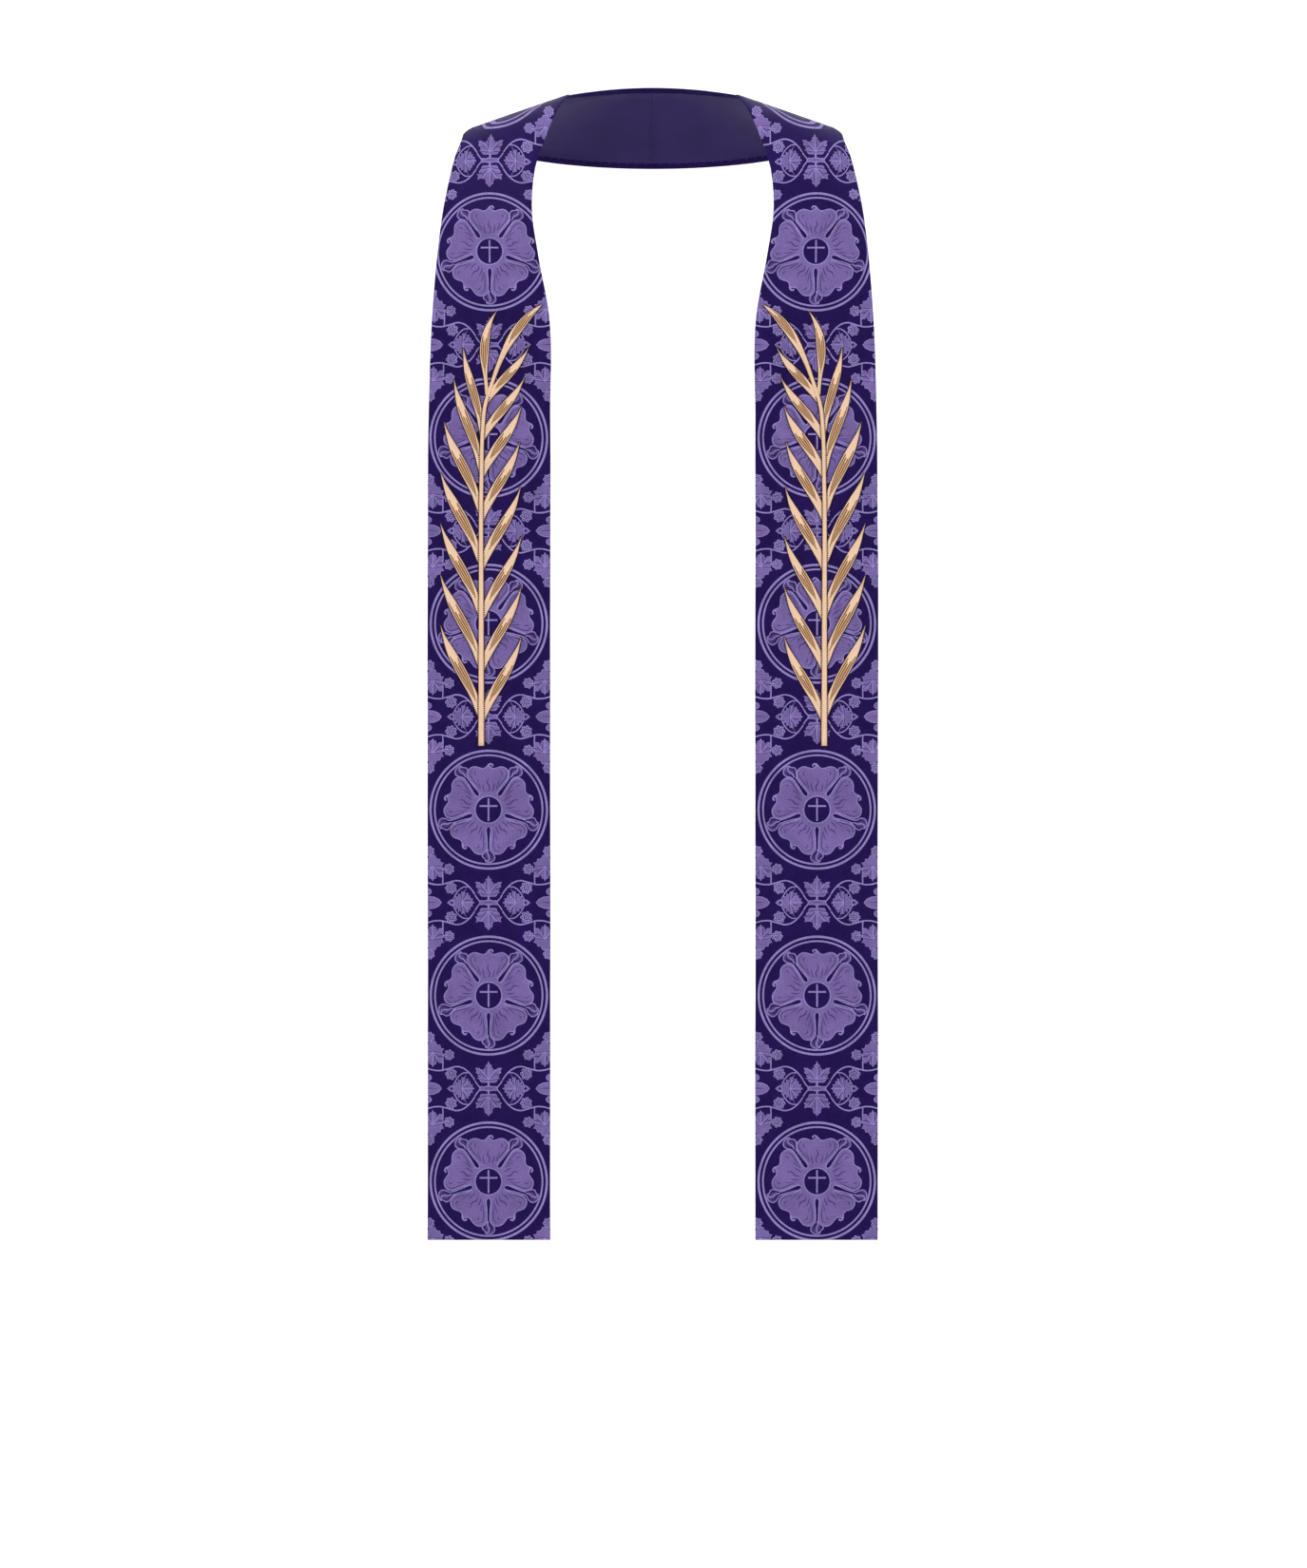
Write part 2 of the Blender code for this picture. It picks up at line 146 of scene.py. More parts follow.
class Cloth:
    """The outer face of one panel. A point on it has a height, measured along the panel's middle
    line from the hem to the seam at the nape, and a share across, from -1 at the neck to 1."""

    SAMPLES = 1600
    # The hang is never quite flat: long shallow waves, as (wavelength, depth) in millimetres
    WAVES = ((430.0, 0.9), (210.0, 0.45), (120.0, 0.2))
    CALM_RUN = 250.0
    # Over the shoulder a length of cloth shows at least this share of it in figure
    LEAST_RISE = 0.45
    # The brocade is eased in a little over the chest: its figure is closed up by the first, at
    # distances before the ridge, and moved out by the second, at heights
    EASED_UP = ((60.0, 1.0), (95.0, 1.035), (190.0, 1.035), (225.0, 1.0))
    EASED_OUT = ((850.0, 0.0), (1000.0, 2.2))
    # The most by which the figure is tilted against a row, and how far out that goes on growing
    MOST_TILT, TILT_SHARE = 1.5, 1.2
    HALVINGS = 40

    def __init__(self, phase):
        self.phase = phase
        sections = [front_section(row) for row in reversed(FRONT_SECTIONS)]
        sections += [back_section(angle) for angle in BACK_ANGLES]
        inner = np.array([s[0] for s in sections])
        outer = np.array([s[1] for s in sections])
        crown = np.array([[s[2]] for s in sections])
        middle = (inner + outer) / 2
        knots = np.concatenate([[0.0], np.cumsum(np.linalg.norm(np.diff(middle, axis=0), axis=1))])
        table = np.hstack([inner, outer, crown])
        fine = smooth_curve(knots, table, np.linspace(0.0, knots[-2], self.SAMPLES))
        middle = (fine[:, 0:3] + fine[:, 3:6]) / 2
        step = np.diff(middle, axis=0)
        run = np.linalg.norm(step, axis=1)
        self.height = np.concatenate([[0.0], np.cumsum(run)])
        self.length = float(self.height[-1])
        across = fine[:, 3:6] - fine[:, 0:3]
        normal = np.cross(across, np.gradient(middle, axis=0))
        normal[-1, 0] = 0.0
        normal /= np.linalg.norm(normal, axis=1)[:, None]
        self.rows = np.hstack([fine, normal])
        # The brocade is cut on the straight grain, so down the front its figure stays upright and
        # the panel's edges run across it. Behind the shoulder the figure follows the panel.
        self.ridge = float(self.height[np.argmax(middle[:, 2])])
        front = self.height < self.ridge
        slope = step[:, 2] / run
        rise = np.where(front[1:], np.maximum(slope, self.LEAST_RISE), 1.0)
        rise *= np.interp(self.ridge - self.height[1:], *zip(*self.EASED_UP))
        self.grain_up = np.concatenate([[0.0], np.cumsum(rise * run)])
        behind = (self.height - self.ridge) / (self.length - self.ridge)
        out = middle[:, 0] - FRONT_MIDDLE_X + np.interp(self.height, *zip(*self.EASED_OUT))
        fade = np.cos(np.clip(behind, 0.0, 1.0) * math.pi / 2) ** 2
        self.grain_out = np.where(front, out, np.interp(self.ridge, self.height, out) * fade)
        # Where a row of the panel runs aslant over the shoulder, the figure still lies level
        drawn = np.clip(rise / np.maximum(slope, 0.01), 0.0, self.MOST_TILT)
        aslant = across[:, 2] / 2 * np.append(drawn, 1.0)
        self.grain_tilt = np.where(front, aslant, np.interp(self.ridge, self.height, aslant) * fade)

    def row(self, height):
        """(inner edge, outer edge, crown, outward direction) at each height."""
        read = [np.interp(height, self.height, self.rows[:, k]) for k in range(self.rows.shape[1])]
        rows = np.stack(read, axis=-1)
        return rows[..., 0:3], rows[..., 3:6], rows[..., 6:7], rows[..., 7:10]

    def half_width(self, height):
        """Half the width of the cloth at each height."""
        inner, outer, _, _ = self.row(height)
        return np.linalg.norm(outer - inner, axis=-1) / 2

    def waves(self, height, share):
        """How far the cloth stands off its even form."""
        total = 0.0
        for number, (length, depth) in enumerate(self.WAVES):
            turn = 2 * math.pi * height / length + self.phase * (number + 1.7) + 0.9 * share
            total = total + depth * np.sin(turn)
        calm = np.clip((self.ridge - height) / self.CALM_RUN, 0.0, 1.0)
        return total * calm * (0.35 + 0.65 * share**2)

    def point(self, height, share, off=0.0):
        """Points on the outer face, moved off it by a distance along its outward direction."""
        inner, outer, crown, normal = self.row(height)
        off = np.asarray(off, float) + self.waves(height, share)
        share = np.asarray(share, float)[..., None]
        middle = (inner + outer) / 2 + share * (outer - inner) / 2
        return middle + normal * (crown * (1 - share**2) + off[..., None])

    def share_at(self, out, height):
        """The share across at which a point of the brocade's figure lies at a height."""
        return (out - np.interp(height, self.height, self.grain_out)) / self.half_width(height)

    def on_cloth(self, out, up):
        """(height, share) of points of the brocade's figure, given in its flat length: the height
        is found by halving the panel's length again and again."""
        low, high = np.zeros_like(up), np.full_like(up, self.length)
        for _ in range(self.HALVINGS):
            height = (low + high) / 2
            tilt = np.clip(self.share_at(out, height), -self.TILT_SHARE, self.TILT_SHARE)
            tilt *= np.interp(height, self.height, self.grain_tilt)
            over = np.interp(height, self.height, self.grain_up) + tilt > up
            low, high = np.where(over, low, height), np.where(over, height, high)
        return height, self.share_at(out, height)


# The brocade's woven figure
# It repeats down the panel: a roundel with a five-petalled rose and a small cross, and between
# roundels a knot of vine leaves, tendrils and grapes. All of it is drawn here in millimetres from
# plain outlines, out from the panel's middle and up, one repeat high, each shape woven over those
# before it.
REPEAT = 192.6
LOWEST_ROUNDEL = 60.6
FIGURE_OUT = 86.0
GROUND, SHADE, FIGURE, LIGHT = 0.0, 1.0, 2.0, 3.0
shapes = []


def weave(outline, tone):
    """Adds one closed outline to the figure, its corners anticlockwise."""
    outline = np.asarray(outline, float)
    x, y = outline.T
    area = np.sum(x * np.roll(y, -1) - np.roll(x, -1) * y)
    outline = outline if area > 0 else outline[::-1]
    shapes.append((outline, tone))
    return outline


def weave_edged(outline, edge=0.85, tone=FIGURE):
    """Adds a shape with a lighter edge, as the weft is bound off round it."""
    outline = weave(outline, LIGHT)
    run = np.roll(outline, -1, axis=0) - np.roll(outline, 1, axis=0)
    run /= np.linalg.norm(run, axis=1)[:, None]
    weave(outline + edge * np.column_stack([-run[:, 1], run[:, 0]]), tone)


def disc(centre, radius, tone, corners=12, flat=1.0):
    """A round or oval spot."""
    turn = np.arange(corners) * 2 * math.pi / corners
    weave(np.array(centre) + radius * np.column_stack([np.cos(turn), flat * np.sin(turn)]), tone)


def curve_through(points, closed=False, step=2.2):
    """A smooth run of points through a few, about step apart."""
    points = np.asarray(points, float)
    if closed:
        points = np.vstack([points[-2:], points, points[:3]])
    run = np.concatenate([[0.0], np.cumsum(np.linalg.norm(np.diff(points, axis=0), axis=1))])
    first, last = (run[2], run[-3]) if closed else (0.0, run[-1])
    count = max(int(round((last - first) / step)), 2)
    return smooth_curve(run, points, np.linspace(first, last, count + 1)[: count if closed else None])


def line(points, width, tone, taper=(1.0, 1.0), step=2.2):
    """A drawn line, its width shrinking towards its two ends by the shares in taper."""
    path = curve_through(points, step=step)
    heading = np.gradient(path, axis=0)
    heading /= np.linalg.norm(heading, axis=1)[:, None]
    side = np.column_stack([-heading[:, 1], heading[:, 0]])
    along = np.linspace(0.0, 1.0, len(path))
    half = width / 2 * np.interp(along, [0.0, 0.3, 0.7, 1.0], [taper[0], 1.0, 1.0, taper[1]])
    weave(np.vstack([path + side * half[:, None], (path - side * half[:, None])[::-1]]), tone)


def turned(points, angle, mirror=1.0, centre=(0.0, 0.0)):
    """Points drawn about 0 with their axis up, turned so that the axis points along angle."""
    points = np.asarray(points, float) * (mirror, 1.0)
    turn = math.radians(angle - 90.0)
    spin = np.array([[math.cos(turn), -math.sin(turn)], [math.sin(turn), math.cos(turn)]])
    return points @ spin.T + np.array(centre, float)


# Half a petal of the rose, from its foot to the notch in its rim, as (sideways, out from the
# rose's middle), and the folds that shade it
ROSE_HEART = 19.0
PETAL_HALF = (
    (3.0, 15.0), (9.6, 17.4), (13.4, 22.6), (16.8, 26.8), (20.4, 31.0), (22.4, 35.6), (21.8, 40.2),
    (18.8, 43.4), (14.4, 45.0), (10.0, 44.2), (6.0, 43.0), (3.2, 43.8), (1.6, 45.8),
)
PETAL_SWAY = 0.06
PETAL_NOTCH_CURL = ((1.2, 44.6), (-0.4, 46.8), (-2.8, 47.4), (-4.5, 46.3), (-4.0, 44.8))
PETAL_FOLDS = (
    (
        ((7.6, 20.6), (10.8, 24.4), (14.3, 28.5), (17.6, 32.6), (19.2, 36.4), (18.2, 39.8), (15.0, 42.0)),
        1.1,
    ),
    (((3.4, 17.6), (5.4, 22.4), (6.0, 27.8)), 1.3),
    (((7.6, 22.0), (10.2, 27.0), (11.6, 32.0)), 0.9),
    (((12.6, 35.0), (14.8, 37.6), (12.4, 39.8)), 1.2),
)
PETAL_MIDDLE_FOLD = (((0.6, 18.0), (-1.4, 23.0), (1.2, 28.4), (-0.2, 33.4)), 1.5)
# A sepal curls out between two petals, as (sideways, out) of the gap's middle
SEPAL = (
    (-1.4, 36.0), (-2.8, 42.6), (-6.0, 46.0), (-7.2, 50.4), (-4.2, 54.2), (1.0, 54.9), (4.0, 53.4),
    (3.8, 51.6), (6.6, 49.8), (6.8, 45.4), (4.2, 42.2), (1.6, 36.0),
)
SEPAL_FOLDS = (
    (((-0.2, 38.0), (-0.8, 43.4), (-3.6, 47.4), (-3.2, 51.0)), 1.5, GROUND),
    (((1.0, 40.0), (3.6, 44.4), (4.2, 48.4), (1.6, 51.4)), 1.3, GROUND),
    (((0.4, 41.0), (0.9, 45.4), (-0.6, 49.0), (-0.4, 52.0), (3.6, 53.2)), 1.2, LIGHT),
)
# Half of the dark slit between two petals, wide at its inner end
SLIT_HALF = ((1.4, 18.8), (2.0, 20.6), (1.8, 24.0), (1.3, 28.0), (1.0, 34.0), (1.0, 40.5))
BOSS_RADIUS = 13.4
CROSS_UP, CROSS_OUT, CROSS_ARM = 11.8, 9.4, 3.8
CROSS_BAR = 1.7

for radius, width in ((61.0, 2.3), (56.4, 1.8)):
    disc((0, 0), radius + width / 2, LIGHT, 100)
    disc((0, 0), radius - width / 2, GROUND, 90)
for number in range(5):
    gap, lean = 54.0 + 72.0 * number, (-1.0, 1.0, 1.0, -1.0, 1.0)[number]
    weave_edged(curve_through(turned(SEPAL, gap, lean), closed=True), 1.0, SHADE)
    for fold, width, tone in SEPAL_FOLDS:
        line(turned(fold, gap, lean), width, tone, (1.0, 0.5), 1.8)
for number in range(5):
    axis, lean = 90.0 + 72.0 * number, (1.0, 1.0, 1.0, -1.0, -1.0)[number]
    half = np.array(PETAL_HALF)
    # No two petals are quite alike: one side of each is a little the fuller
    fuller = 1.0 + PETAL_SWAY * math.sin(2.4 * number + 0.6)
    whole = np.vstack([half * (fuller, 1.0), half[::-1] * (fuller - 2.0, 1.0)])
    weave_edged(curve_through(turned(whole, axis), closed=True, step=1.9), 1.0)
    line(turned(PETAL_NOTCH_CURL, axis, lean), 1.8, LIGHT, (1.0, 0.7), 1.6)
    for side in (-1.0, 1.0):
        for fold, width in PETAL_FOLDS:
            line(turned(fold, axis, side), width, SHADE, (0.3, 0.2))
    line(turned(PETAL_MIDDLE_FOLD[0], axis, lean), PETAL_MIDDLE_FOLD[1], SHADE, (0.4, 0.2))
disc((0, 0), ROSE_HEART, FIGURE, 40)
for number in range(5):
    gap = 54.0 + 72.0 * number
    half = np.array(SLIT_HALF)
    for wider, tone in ((1.1, LIGHT), (0.0, GROUND)):
        side = half + (wider, 0.0)
        foot = [(0.0, half[0, 1] - 1.4 - wider)]
        weave(turned(np.vstack([foot, side, side[::-1] * (-1, 1)]), gap), tone)
disc((0, 0), BOSS_RADIUS + 1.2, LIGHT, 44)
disc((0, 0), BOSS_RADIUS, GROUND, 44)
for wide, low, high in (
    (CROSS_OUT, CROSS_ARM - CROSS_BAR / 2, CROSS_ARM + CROSS_BAR / 2),
    (CROSS_BAR / 2, -CROSS_UP, CROSS_UP),
):
    weave([(-wide, low), (wide, low), (wide, high), (-wide, high)], LIGHT)

# Vine leaves: half of each one's toothed edge, as (sideways, ahead), from its point to its foot
UPPER_LEAF = (
    (0, 22.2), (1.5, 18.6), (3.3, 17.8), (2.8, 15.4), (4.8, 14.9), (4.6, 12.4), (6.6, 13.6), (8.2, 13.3),
    (9.6, 15.0), (14.0, 15.3), (12.4, 12.2), (13.4, 10.2), (10.8, 8.6), (11.4, 6.9), (9.2, 5.8),
    (12.2, 4.4), (9.6, 3.0), (8.6, 1.2), (7.2, 0.0),
)
LOWER_LEAF = (
    (0, 23.0), (1.9, 20.6), (4.2, 18.9), (3.8, 16.4), (5.8, 14.2), (9.4, 13.6), (13.2, 14.8), (12.3, 11.2),
    (13.9, 9.3), (11.2, 7.7), (11.8, 5.9), (9.4, 4.2), (8.9, 1.8), (7.6, 0.0),
)
SIDE_LEAF = (
    (0, 13.2), (1.6, 10.6), (4.2, 11.2), (4.3, 8.4), (7.6, 8.6), (7.0, 5.7), (10.4, 6.2), (9.9, 3.8),
    (15.0, 4.6), (11.0, 1.6), (11.8, -0.6), (8.2, -1.4), (9.6, -4.2), (6.0, -4.2), (6.8, -7.4),
    (3.8, -6.8), (2.2, -9.4),
)
CORNER_LEAF = (
    (0, 14.0), (1.4, 11.4), (3.6, 11.0), (3.4, 8.4), (6.2, 9.6), (10.4, 9.8), (9.4, 6.6), (10.8, 4.6),
    (8.4, 3.2), (11.6, 0.6), (9.6, -1.4), (12.0, -5.2), (8.6, -5.8), (8.0, -9.0), (4.4, -9.4), (2.6, -13.0),
)
# The veins of a leaf, as (sideways, ahead) of their ends in shares of its reach
VEINS = ((0.0, 0.86), (0.42, 0.6), (0.52, 0.2))
# Dark clefts between its lobes, as the directions they run in from the rim, and their two ends
CLEFTS = ((38.0, 0.95, 0.52), (84.0, 0.9, 0.5))


def vine_leaf(centre, angle, half):
    """A lobed leaf with a toothed edge, pale veins with a fold beside each, and dark clefts."""

    def draw(points, width, tone, taper):
        line(turned(points, angle, 1.0, centre), width, tone, taper, 4.0)

    half = np.array(half, float)
    whole = np.vstack([half, half[:0:-1] * (-1, 1)])
    weave_edged(turned(whole, angle, 1.0, centre), 0.6)
    foot = 0.3 * half[-1, 1] + 0.7
    reach = half[0, 1] - foot
    wide = half[:, 0].max()
    for out, ahead in VEINS:
        for side in (-1.0, 1.0) if out else (1.0,):
            end = np.array((side * out * wide * 1.5, foot + ahead * reach))
            start = np.array((0.0, foot + 0.12 * reach))
            fold = np.array((side * 1.15, -0.9) if out else (2.35, 0.0))
            bend, last = start * 0.4 + end * 0.6, end * 0.92 + start * 0.08
            draw((start + fold, bend + fold, last + fold), 1.1, SHADE, (0.5, 0.3))
            draw((start, (start + end) / 2, end), 0.9, LIGHT, (1.0, 0.4))
    heart = np.array((0.0, foot + 0.3 * reach))
    for lean, far, near in CLEFTS:
        for side in (-1.0, 1.0):
            ray = np.array((side * math.sin(math.radians(lean)), math.cos(math.radians(lean)))) * wide
            draw((heart + ray * far, heart + ray * near), 0.9, GROUND, (1.0, 0.4))


def grapes(centre, size=1.0):
    """A small bunch: one grape with seven round it."""
    for number in range(8):
        turn = 2 * math.pi * number / 7
        away = (4.1 * size if number else 0.0) * np.array((math.cos(turn), math.sin(turn)))
        disc(np.array(centre) + away, 1.85 * size, LIGHT, 9)
        disc(np.array(centre) + away + (0.15, -0.15), 0.9 * size, SHADE, 6)


# The upper half of the band that ties the knot, of a bud beside it and of an almond at the edge
BAND = (
    (-10, 0), (-8.6, 2.5), (-4.2, 2.2), (-2.4, 3.0), (0, 2.3), (2.4, 3.0), (4.2, 2.2), (8.6, 2.5), (10, 0),
)
BUD = ((36.0, 0), (37.6, 3.6), (40.4, 2.8), (43.6, 0))
ALMOND = ((49.2, 0), (52.2, 3.8), (57.0, 6.0), (63.5, 6.9), (71.0, 5.4), (80.0, 0))
# A quarter of the knot: its vine and the tendrils that spring from it
VINE = (
    (8.6, 0.6), (12.4, 5.0), (16.2, 11.4), (21.0, 17.0), (26.8, 21.2), (33.4, 22.8),
    (41.6, 20.9), (50.6, 18.7), (57.5, 19.0), (66.0, 21.2), (78.0, 23.0), (90.0, 20.0),
)
TENDRIL = ((20.6, 16.4), (26.6, 16.0), (31.0, 13.0), (35.0, 7.6), (37.4, 2.4))
LEAF_STALK = ((48.4, 35.0), (48.0, 28.0), (48.2, 19.4))
GRAPE_STALK = ((43.0, 33.6), (50.0, 34.6))
CORNER_LEAF_AT = (58.8, 36.2)
GRAPES = ((41.6, 34.8, 0.98), (62.4, 53.2, 0.98), (39.4, 15.2, 1.08))
SPOT_AT = (65.4, 11.4)


def doubled(upper):
    """A closed outline from its upper half."""
    return upper + tuple((x, -y) for x, y in upper[-2:0:-1])


def vine_knot(middle):
    """Everything between two roundels, about the knot's middle."""
    vine_leaf((0, middle + 6.2), 90.0, UPPER_LEAF)
    vine_leaf((0, middle - 5.6), -90.0, LOWER_LEAF)
    weave([(-1.0, middle - 6.5), (1.0, middle - 6.5), (1.0, middle + 7.0), (-1.0, middle + 7.0)], LIGHT)
    weave_edged(np.array(doubled(BAND)) + (0, middle), 0.6)
    line([(-5.0, middle), (0, middle + 0.5), (5.0, middle)], 0.9, SHADE, (0.3, 0.3))
    for side in (1.0, -1.0):
        for over in (1.0, -1.0):

            def at(*points):
                return [(side * x, middle + over * y) for x, y in points]

            line(at(*VINE), 1.5, LIGHT, (0.8, 0.8))
            line(at(*TENDRIL), 1.2, LIGHT, (0.8, 0.8))
            line(at(*LEAF_STALK), 1.3, LIGHT)
            line(at(*GRAPE_STALK), 1.3, LIGHT, step=3.0)
            vine_leaf(at(CORNER_LEAF_AT)[0], -90.0 * over, CORNER_LEAF)
            for x, y, size in GRAPES:
                grapes(at((x, y))[0], size)
            disc(at(SPOT_AT)[0], 5.6, LIGHT, 14, 0.72)
            disc(at(SPOT_AT)[0], 4.7, FIGURE, 14, 0.68)
        vine_leaf((side * 27.8, middle), 90.0 + side * 90.0, SIDE_LEAF)
        weave_edged([(side * x, middle + y) for x, y in doubled(BUD)], 0.8)
        disc((side * 38.6, middle), 1.3, GROUND, 7)
        weave_edged([(side * x, middle + y) for x, y in doubled(ALMOND)])
        crease = [(side * 54.0, middle), (side * 64.0, middle + 0.4), (side * 76.0, middle)]
        line(crease, 1.0, SHADE, (0.3, 0.3))


for middle in (REPEAT / 2, -REPEAT / 2):
    vine_knot(middle)

# The two panels, woven, lined and turned in
# The brocade is turned in round the edge over a canvas, and a plain satin lining is felled to it
# by hand, so a panel is a thin closed shell with a soft round edge. The figure is part of its
# outer face: each face there belongs to one weave.
ROW = 8.0
COLUMN = 15.5
ROUND = 1.0
# Where rows of faces run over the round edge, as shares of the round
ROUND_ROWS = (1.0, 0.4, 0.1)
SEAM_ROUND = 0.3
LINING_SHARE = 0.865
LINING_STEP = 0.01
LINING_HEM = 9.0
LINING_FALL = 0.8
LINING_SUNK = 0.45
INSIDE_COLUMN, INSIDE_ROW = 0.22, 12.0
STRAIGHT_FRONT = 780.0
WELD = 5e-4
LAID_ROWS, LAID_ROOM = 4, 10.0
# The kinds of faces that delaunay_2d_cdt gives: triangles, or what the outlines enclose
TRIANGLES, MESH_FACES = 1, 4


def woven_repeat():
    """(corners, faces, tones) of one repeat of the figure in the flat, with a row and column grid
    that lets it bend."""
    corners, faces, edges = [], [], []

    def put(points):
        first = len(corners)
        corners.extend(Vector(p) for p in points)
        return list(range(first, first + len(points)))

    high = REPEAT / 2
    faces.append(put([(-FIGURE_OUT, -high), (FIGURE_OUT, -high), (FIGURE_OUT, high), (-FIGURE_OUT, high)]))
    for outline, _ in shapes:
        faces.append(put(outline))
    rows = round(REPEAT / ROW)
    for number in range(1, rows):
        level = -high + REPEAT * number / rows
        edges.append(put([(-FIGURE_OUT, level), (FIGURE_OUT, level)]))
    columns = round(2 * FIGURE_OUT / COLUMN)
    for number in range(1, columns):
        out = -FIGURE_OUT + 2 * FIGURE_OUT * number / columns
        edges.append(put([(out, -high), (out, high)]))
    points, _, found, _, _, sources = geometry.delaunay_2d_cdt(corners, edges, faces, MESH_FACES, 1e-4)
    points = np.array(points)
    tones = [GROUND] + [tone for _, tone in shapes]
    kept = [
        (list(face), tones[max(source)])
        for face, source in zip(found, sources)
        if source and np.abs(points[list(face)].mean(axis=0))[1] < high
    ]
    return points, [face for face, _ in kept], [tone for _, tone in kept]


def flat_panel(cloth, points, faces, tones):
    """A panel's outer face as an edit mesh in the flat, x the share across and y the height, with
    a face layer that holds the tone."""
    mesh = bmesh.new()
    tone_layer = mesh.faces.layers.float.new("tone")
    top = cloth.grain_up[-1]
    narrow = [i for i, face in enumerate(faces) if np.abs(points[face, 0]).min() < FRONT_WIDTH / 2 + 1]
    number = 0
    while (base := LOWEST_ROUNDEL + REPEAT * (number - 0.5)) < top:
        up = points[:, 1] + base + REPEAT / 2
        height, share = cloth.on_cloth(points[:, 0], up)
        # Above and below the cloth the flat goes on evenly, to be cut off there
        height = np.where(up < 0.0, up, np.where(up > top, cloth.length + up - top, height))
        straight = base + REPEAT < STRAIGHT_FRONT
        made = {}
        for i in narrow if straight else range(len(faces)):
            for corner in faces[i]:
                if corner not in made:
                    made[corner] = mesh.verts.new((share[corner], height[corner], 1.0))
            mesh.faces.new([made[corner] for corner in faces[i]])[tone_layer] = tones[i]
        number += 1
    bmesh.ops.remove_doubles(mesh, verts=mesh.verts, dist=WELD)
    bmesh.ops.delete(mesh, geom=[edge for edge in mesh.edges if edge.is_wire], context="EDGES")

    def cut(where, direction, drop=False):
        bmesh.ops.bisect_plane(
            mesh,
            geom=mesh.verts[:] + mesh.edges[:] + mesh.faces[:],
            dist=1e-6,
            plane_co=where,
            plane_no=direction,
            clear_outer=drop,
        )

    cut((1, 0, 0), (1, 0, 0), True)
    cut((-1, 0, 0), (-1, 0, 0), True)
    cut((0, 0, 0), (0, -1, 0), True)
    cut((0, cloth.length, 0), (0, 1, 0), True)
    edge_share = ROUND / (FRONT_WIDTH / 2)
    columns = [1 - part * edge_share for part in ROUND_ROWS]
    for side in (-1, 1):
        for share in (*columns, LINING_SHARE, LINING_SHARE + LINING_STEP):
            cut((side * share, 0, 0), (1, 0, 0))
    hem_rows = [part * ROUND for part in reversed(ROUND_ROWS)] + [LINING_HEM - LINING_FALL, LINING_HEM]
    for height in (*hem_rows, cloth.length - ROUND, cloth.length - SEAM_ROUND * ROUND):
        cut((0, height, 0), (0, 1, 0))
    bmesh.ops.triangulate(mesh, faces=[face for face in mesh.faces if len(face.verts) > 4])
    return mesh


def close_behind(mesh, cloth):
    """Gives the flat outer face an inner side and walls between. The inside is plain, so it has
    even cells that meet the outer face only round its rim."""
    rim = next(edge for edge in mesh.edges if edge.is_boundary)
    first, here = rim.verts
    loop = [first]
    while here is not first:
        loop.append(here)
        rim = next(edge for edge in here.link_edges if edge.is_boundary and edge is not rim)
        here = rim.other_vert(here)
    half = FRONT_WIDTH / 2
    corners = [Vector((v.co.x * half, v.co.y)) for v in loop]
    edges = []
    columns = [LINING_SHARE, LINING_SHARE + LINING_STEP] + [1 - part * ROUND / half for part in ROUND_ROWS]
    ends = (SEAM_ROUND * ROUND, cloth.length - SEAM_ROUND * ROUND)
    for share in [-c for c in columns] + list(np.arange(-3, 4) * INSIDE_COLUMN) + columns:
        edges.append([len(corners), len(corners) + 1])
        corners.extend(Vector((share * half, end)) for end in ends)
    even = np.arange(20.0, cloth.length - 4.0, INSIDE_ROW)
    for row in (ends[0], ROUND, LINING_HEM - LINING_FALL, LINING_HEM, *even, ends[1]):
        edges.append([len(corners), len(corners) + 1])
        corners.extend(Vector((side * columns[-1] * half, row)) for side in (-1, 1))
    points, _, found, origins, _, _ = geometry.delaunay_2d_cdt(
        corners, edges, [list(range(len(loop)))], TRIANGLES, 1e-5
    )
    inner = [mesh.verts.new((p.x / half, p.y, 0.0)) for p in points]
    for face in found:
        mesh.faces.new([inner[i] for i in face])
    rim_at = {origin: inner[i] for i, sources in enumerate(origins) for origin in sources}
    for i, corner in enumerate(loop):
        after = (i + 1) % len(loop)
        mesh.faces.new([corner, loop[after], rim_at[after], rim_at[i]])
    bmesh.ops.recalc_face_normals(mesh, faces=mesh.faces)


def lay_flat(mesh, cloth):
    """Gives the panel a map of its two sides, each cut in four and laid out side by side with room
    between, so that a picture painted on it has even detail. The walls lie round the sides."""
    layer = mesh.loops.layers.uv.new("OFBake")
    length = cloth.length / LAID_ROWS
    wide, high = FRONT_WIDTH + 2 * LAID_ROOM, length + 2 * LAID_ROOM
    for face in mesh.faces:
        middle = face.calc_center_median()
        column = 0 if middle.z > 0.01 else 1
        row = min(max(int(middle.y / length), 0), LAID_ROWS - 1)
        for loop in face.loops:
            share, height, level = loop.vert.co
            out, up = share * FRONT_WIDTH / 2, height - row * length
            if column == 0 and level < 0.5:
                out += WALL * (share > 0.9999) - WALL * (share < -0.9999)
                up += WALL * (height > cloth.length - 1e-3) - WALL * (height < 1e-3)
            loop[layer].uv = (
                (column + 0.5 + out / wide) / 2,
                (row + (up + LAID_ROOM) / high) / LAID_ROWS,
            )


def softened(reach):
    """How far a rounded edge has fallen back, where reach goes from 0 to 1 over the round."""
    return 1.0 - np.sqrt(1.0 - np.clip(reach, 0.0, 1.0) ** 2)


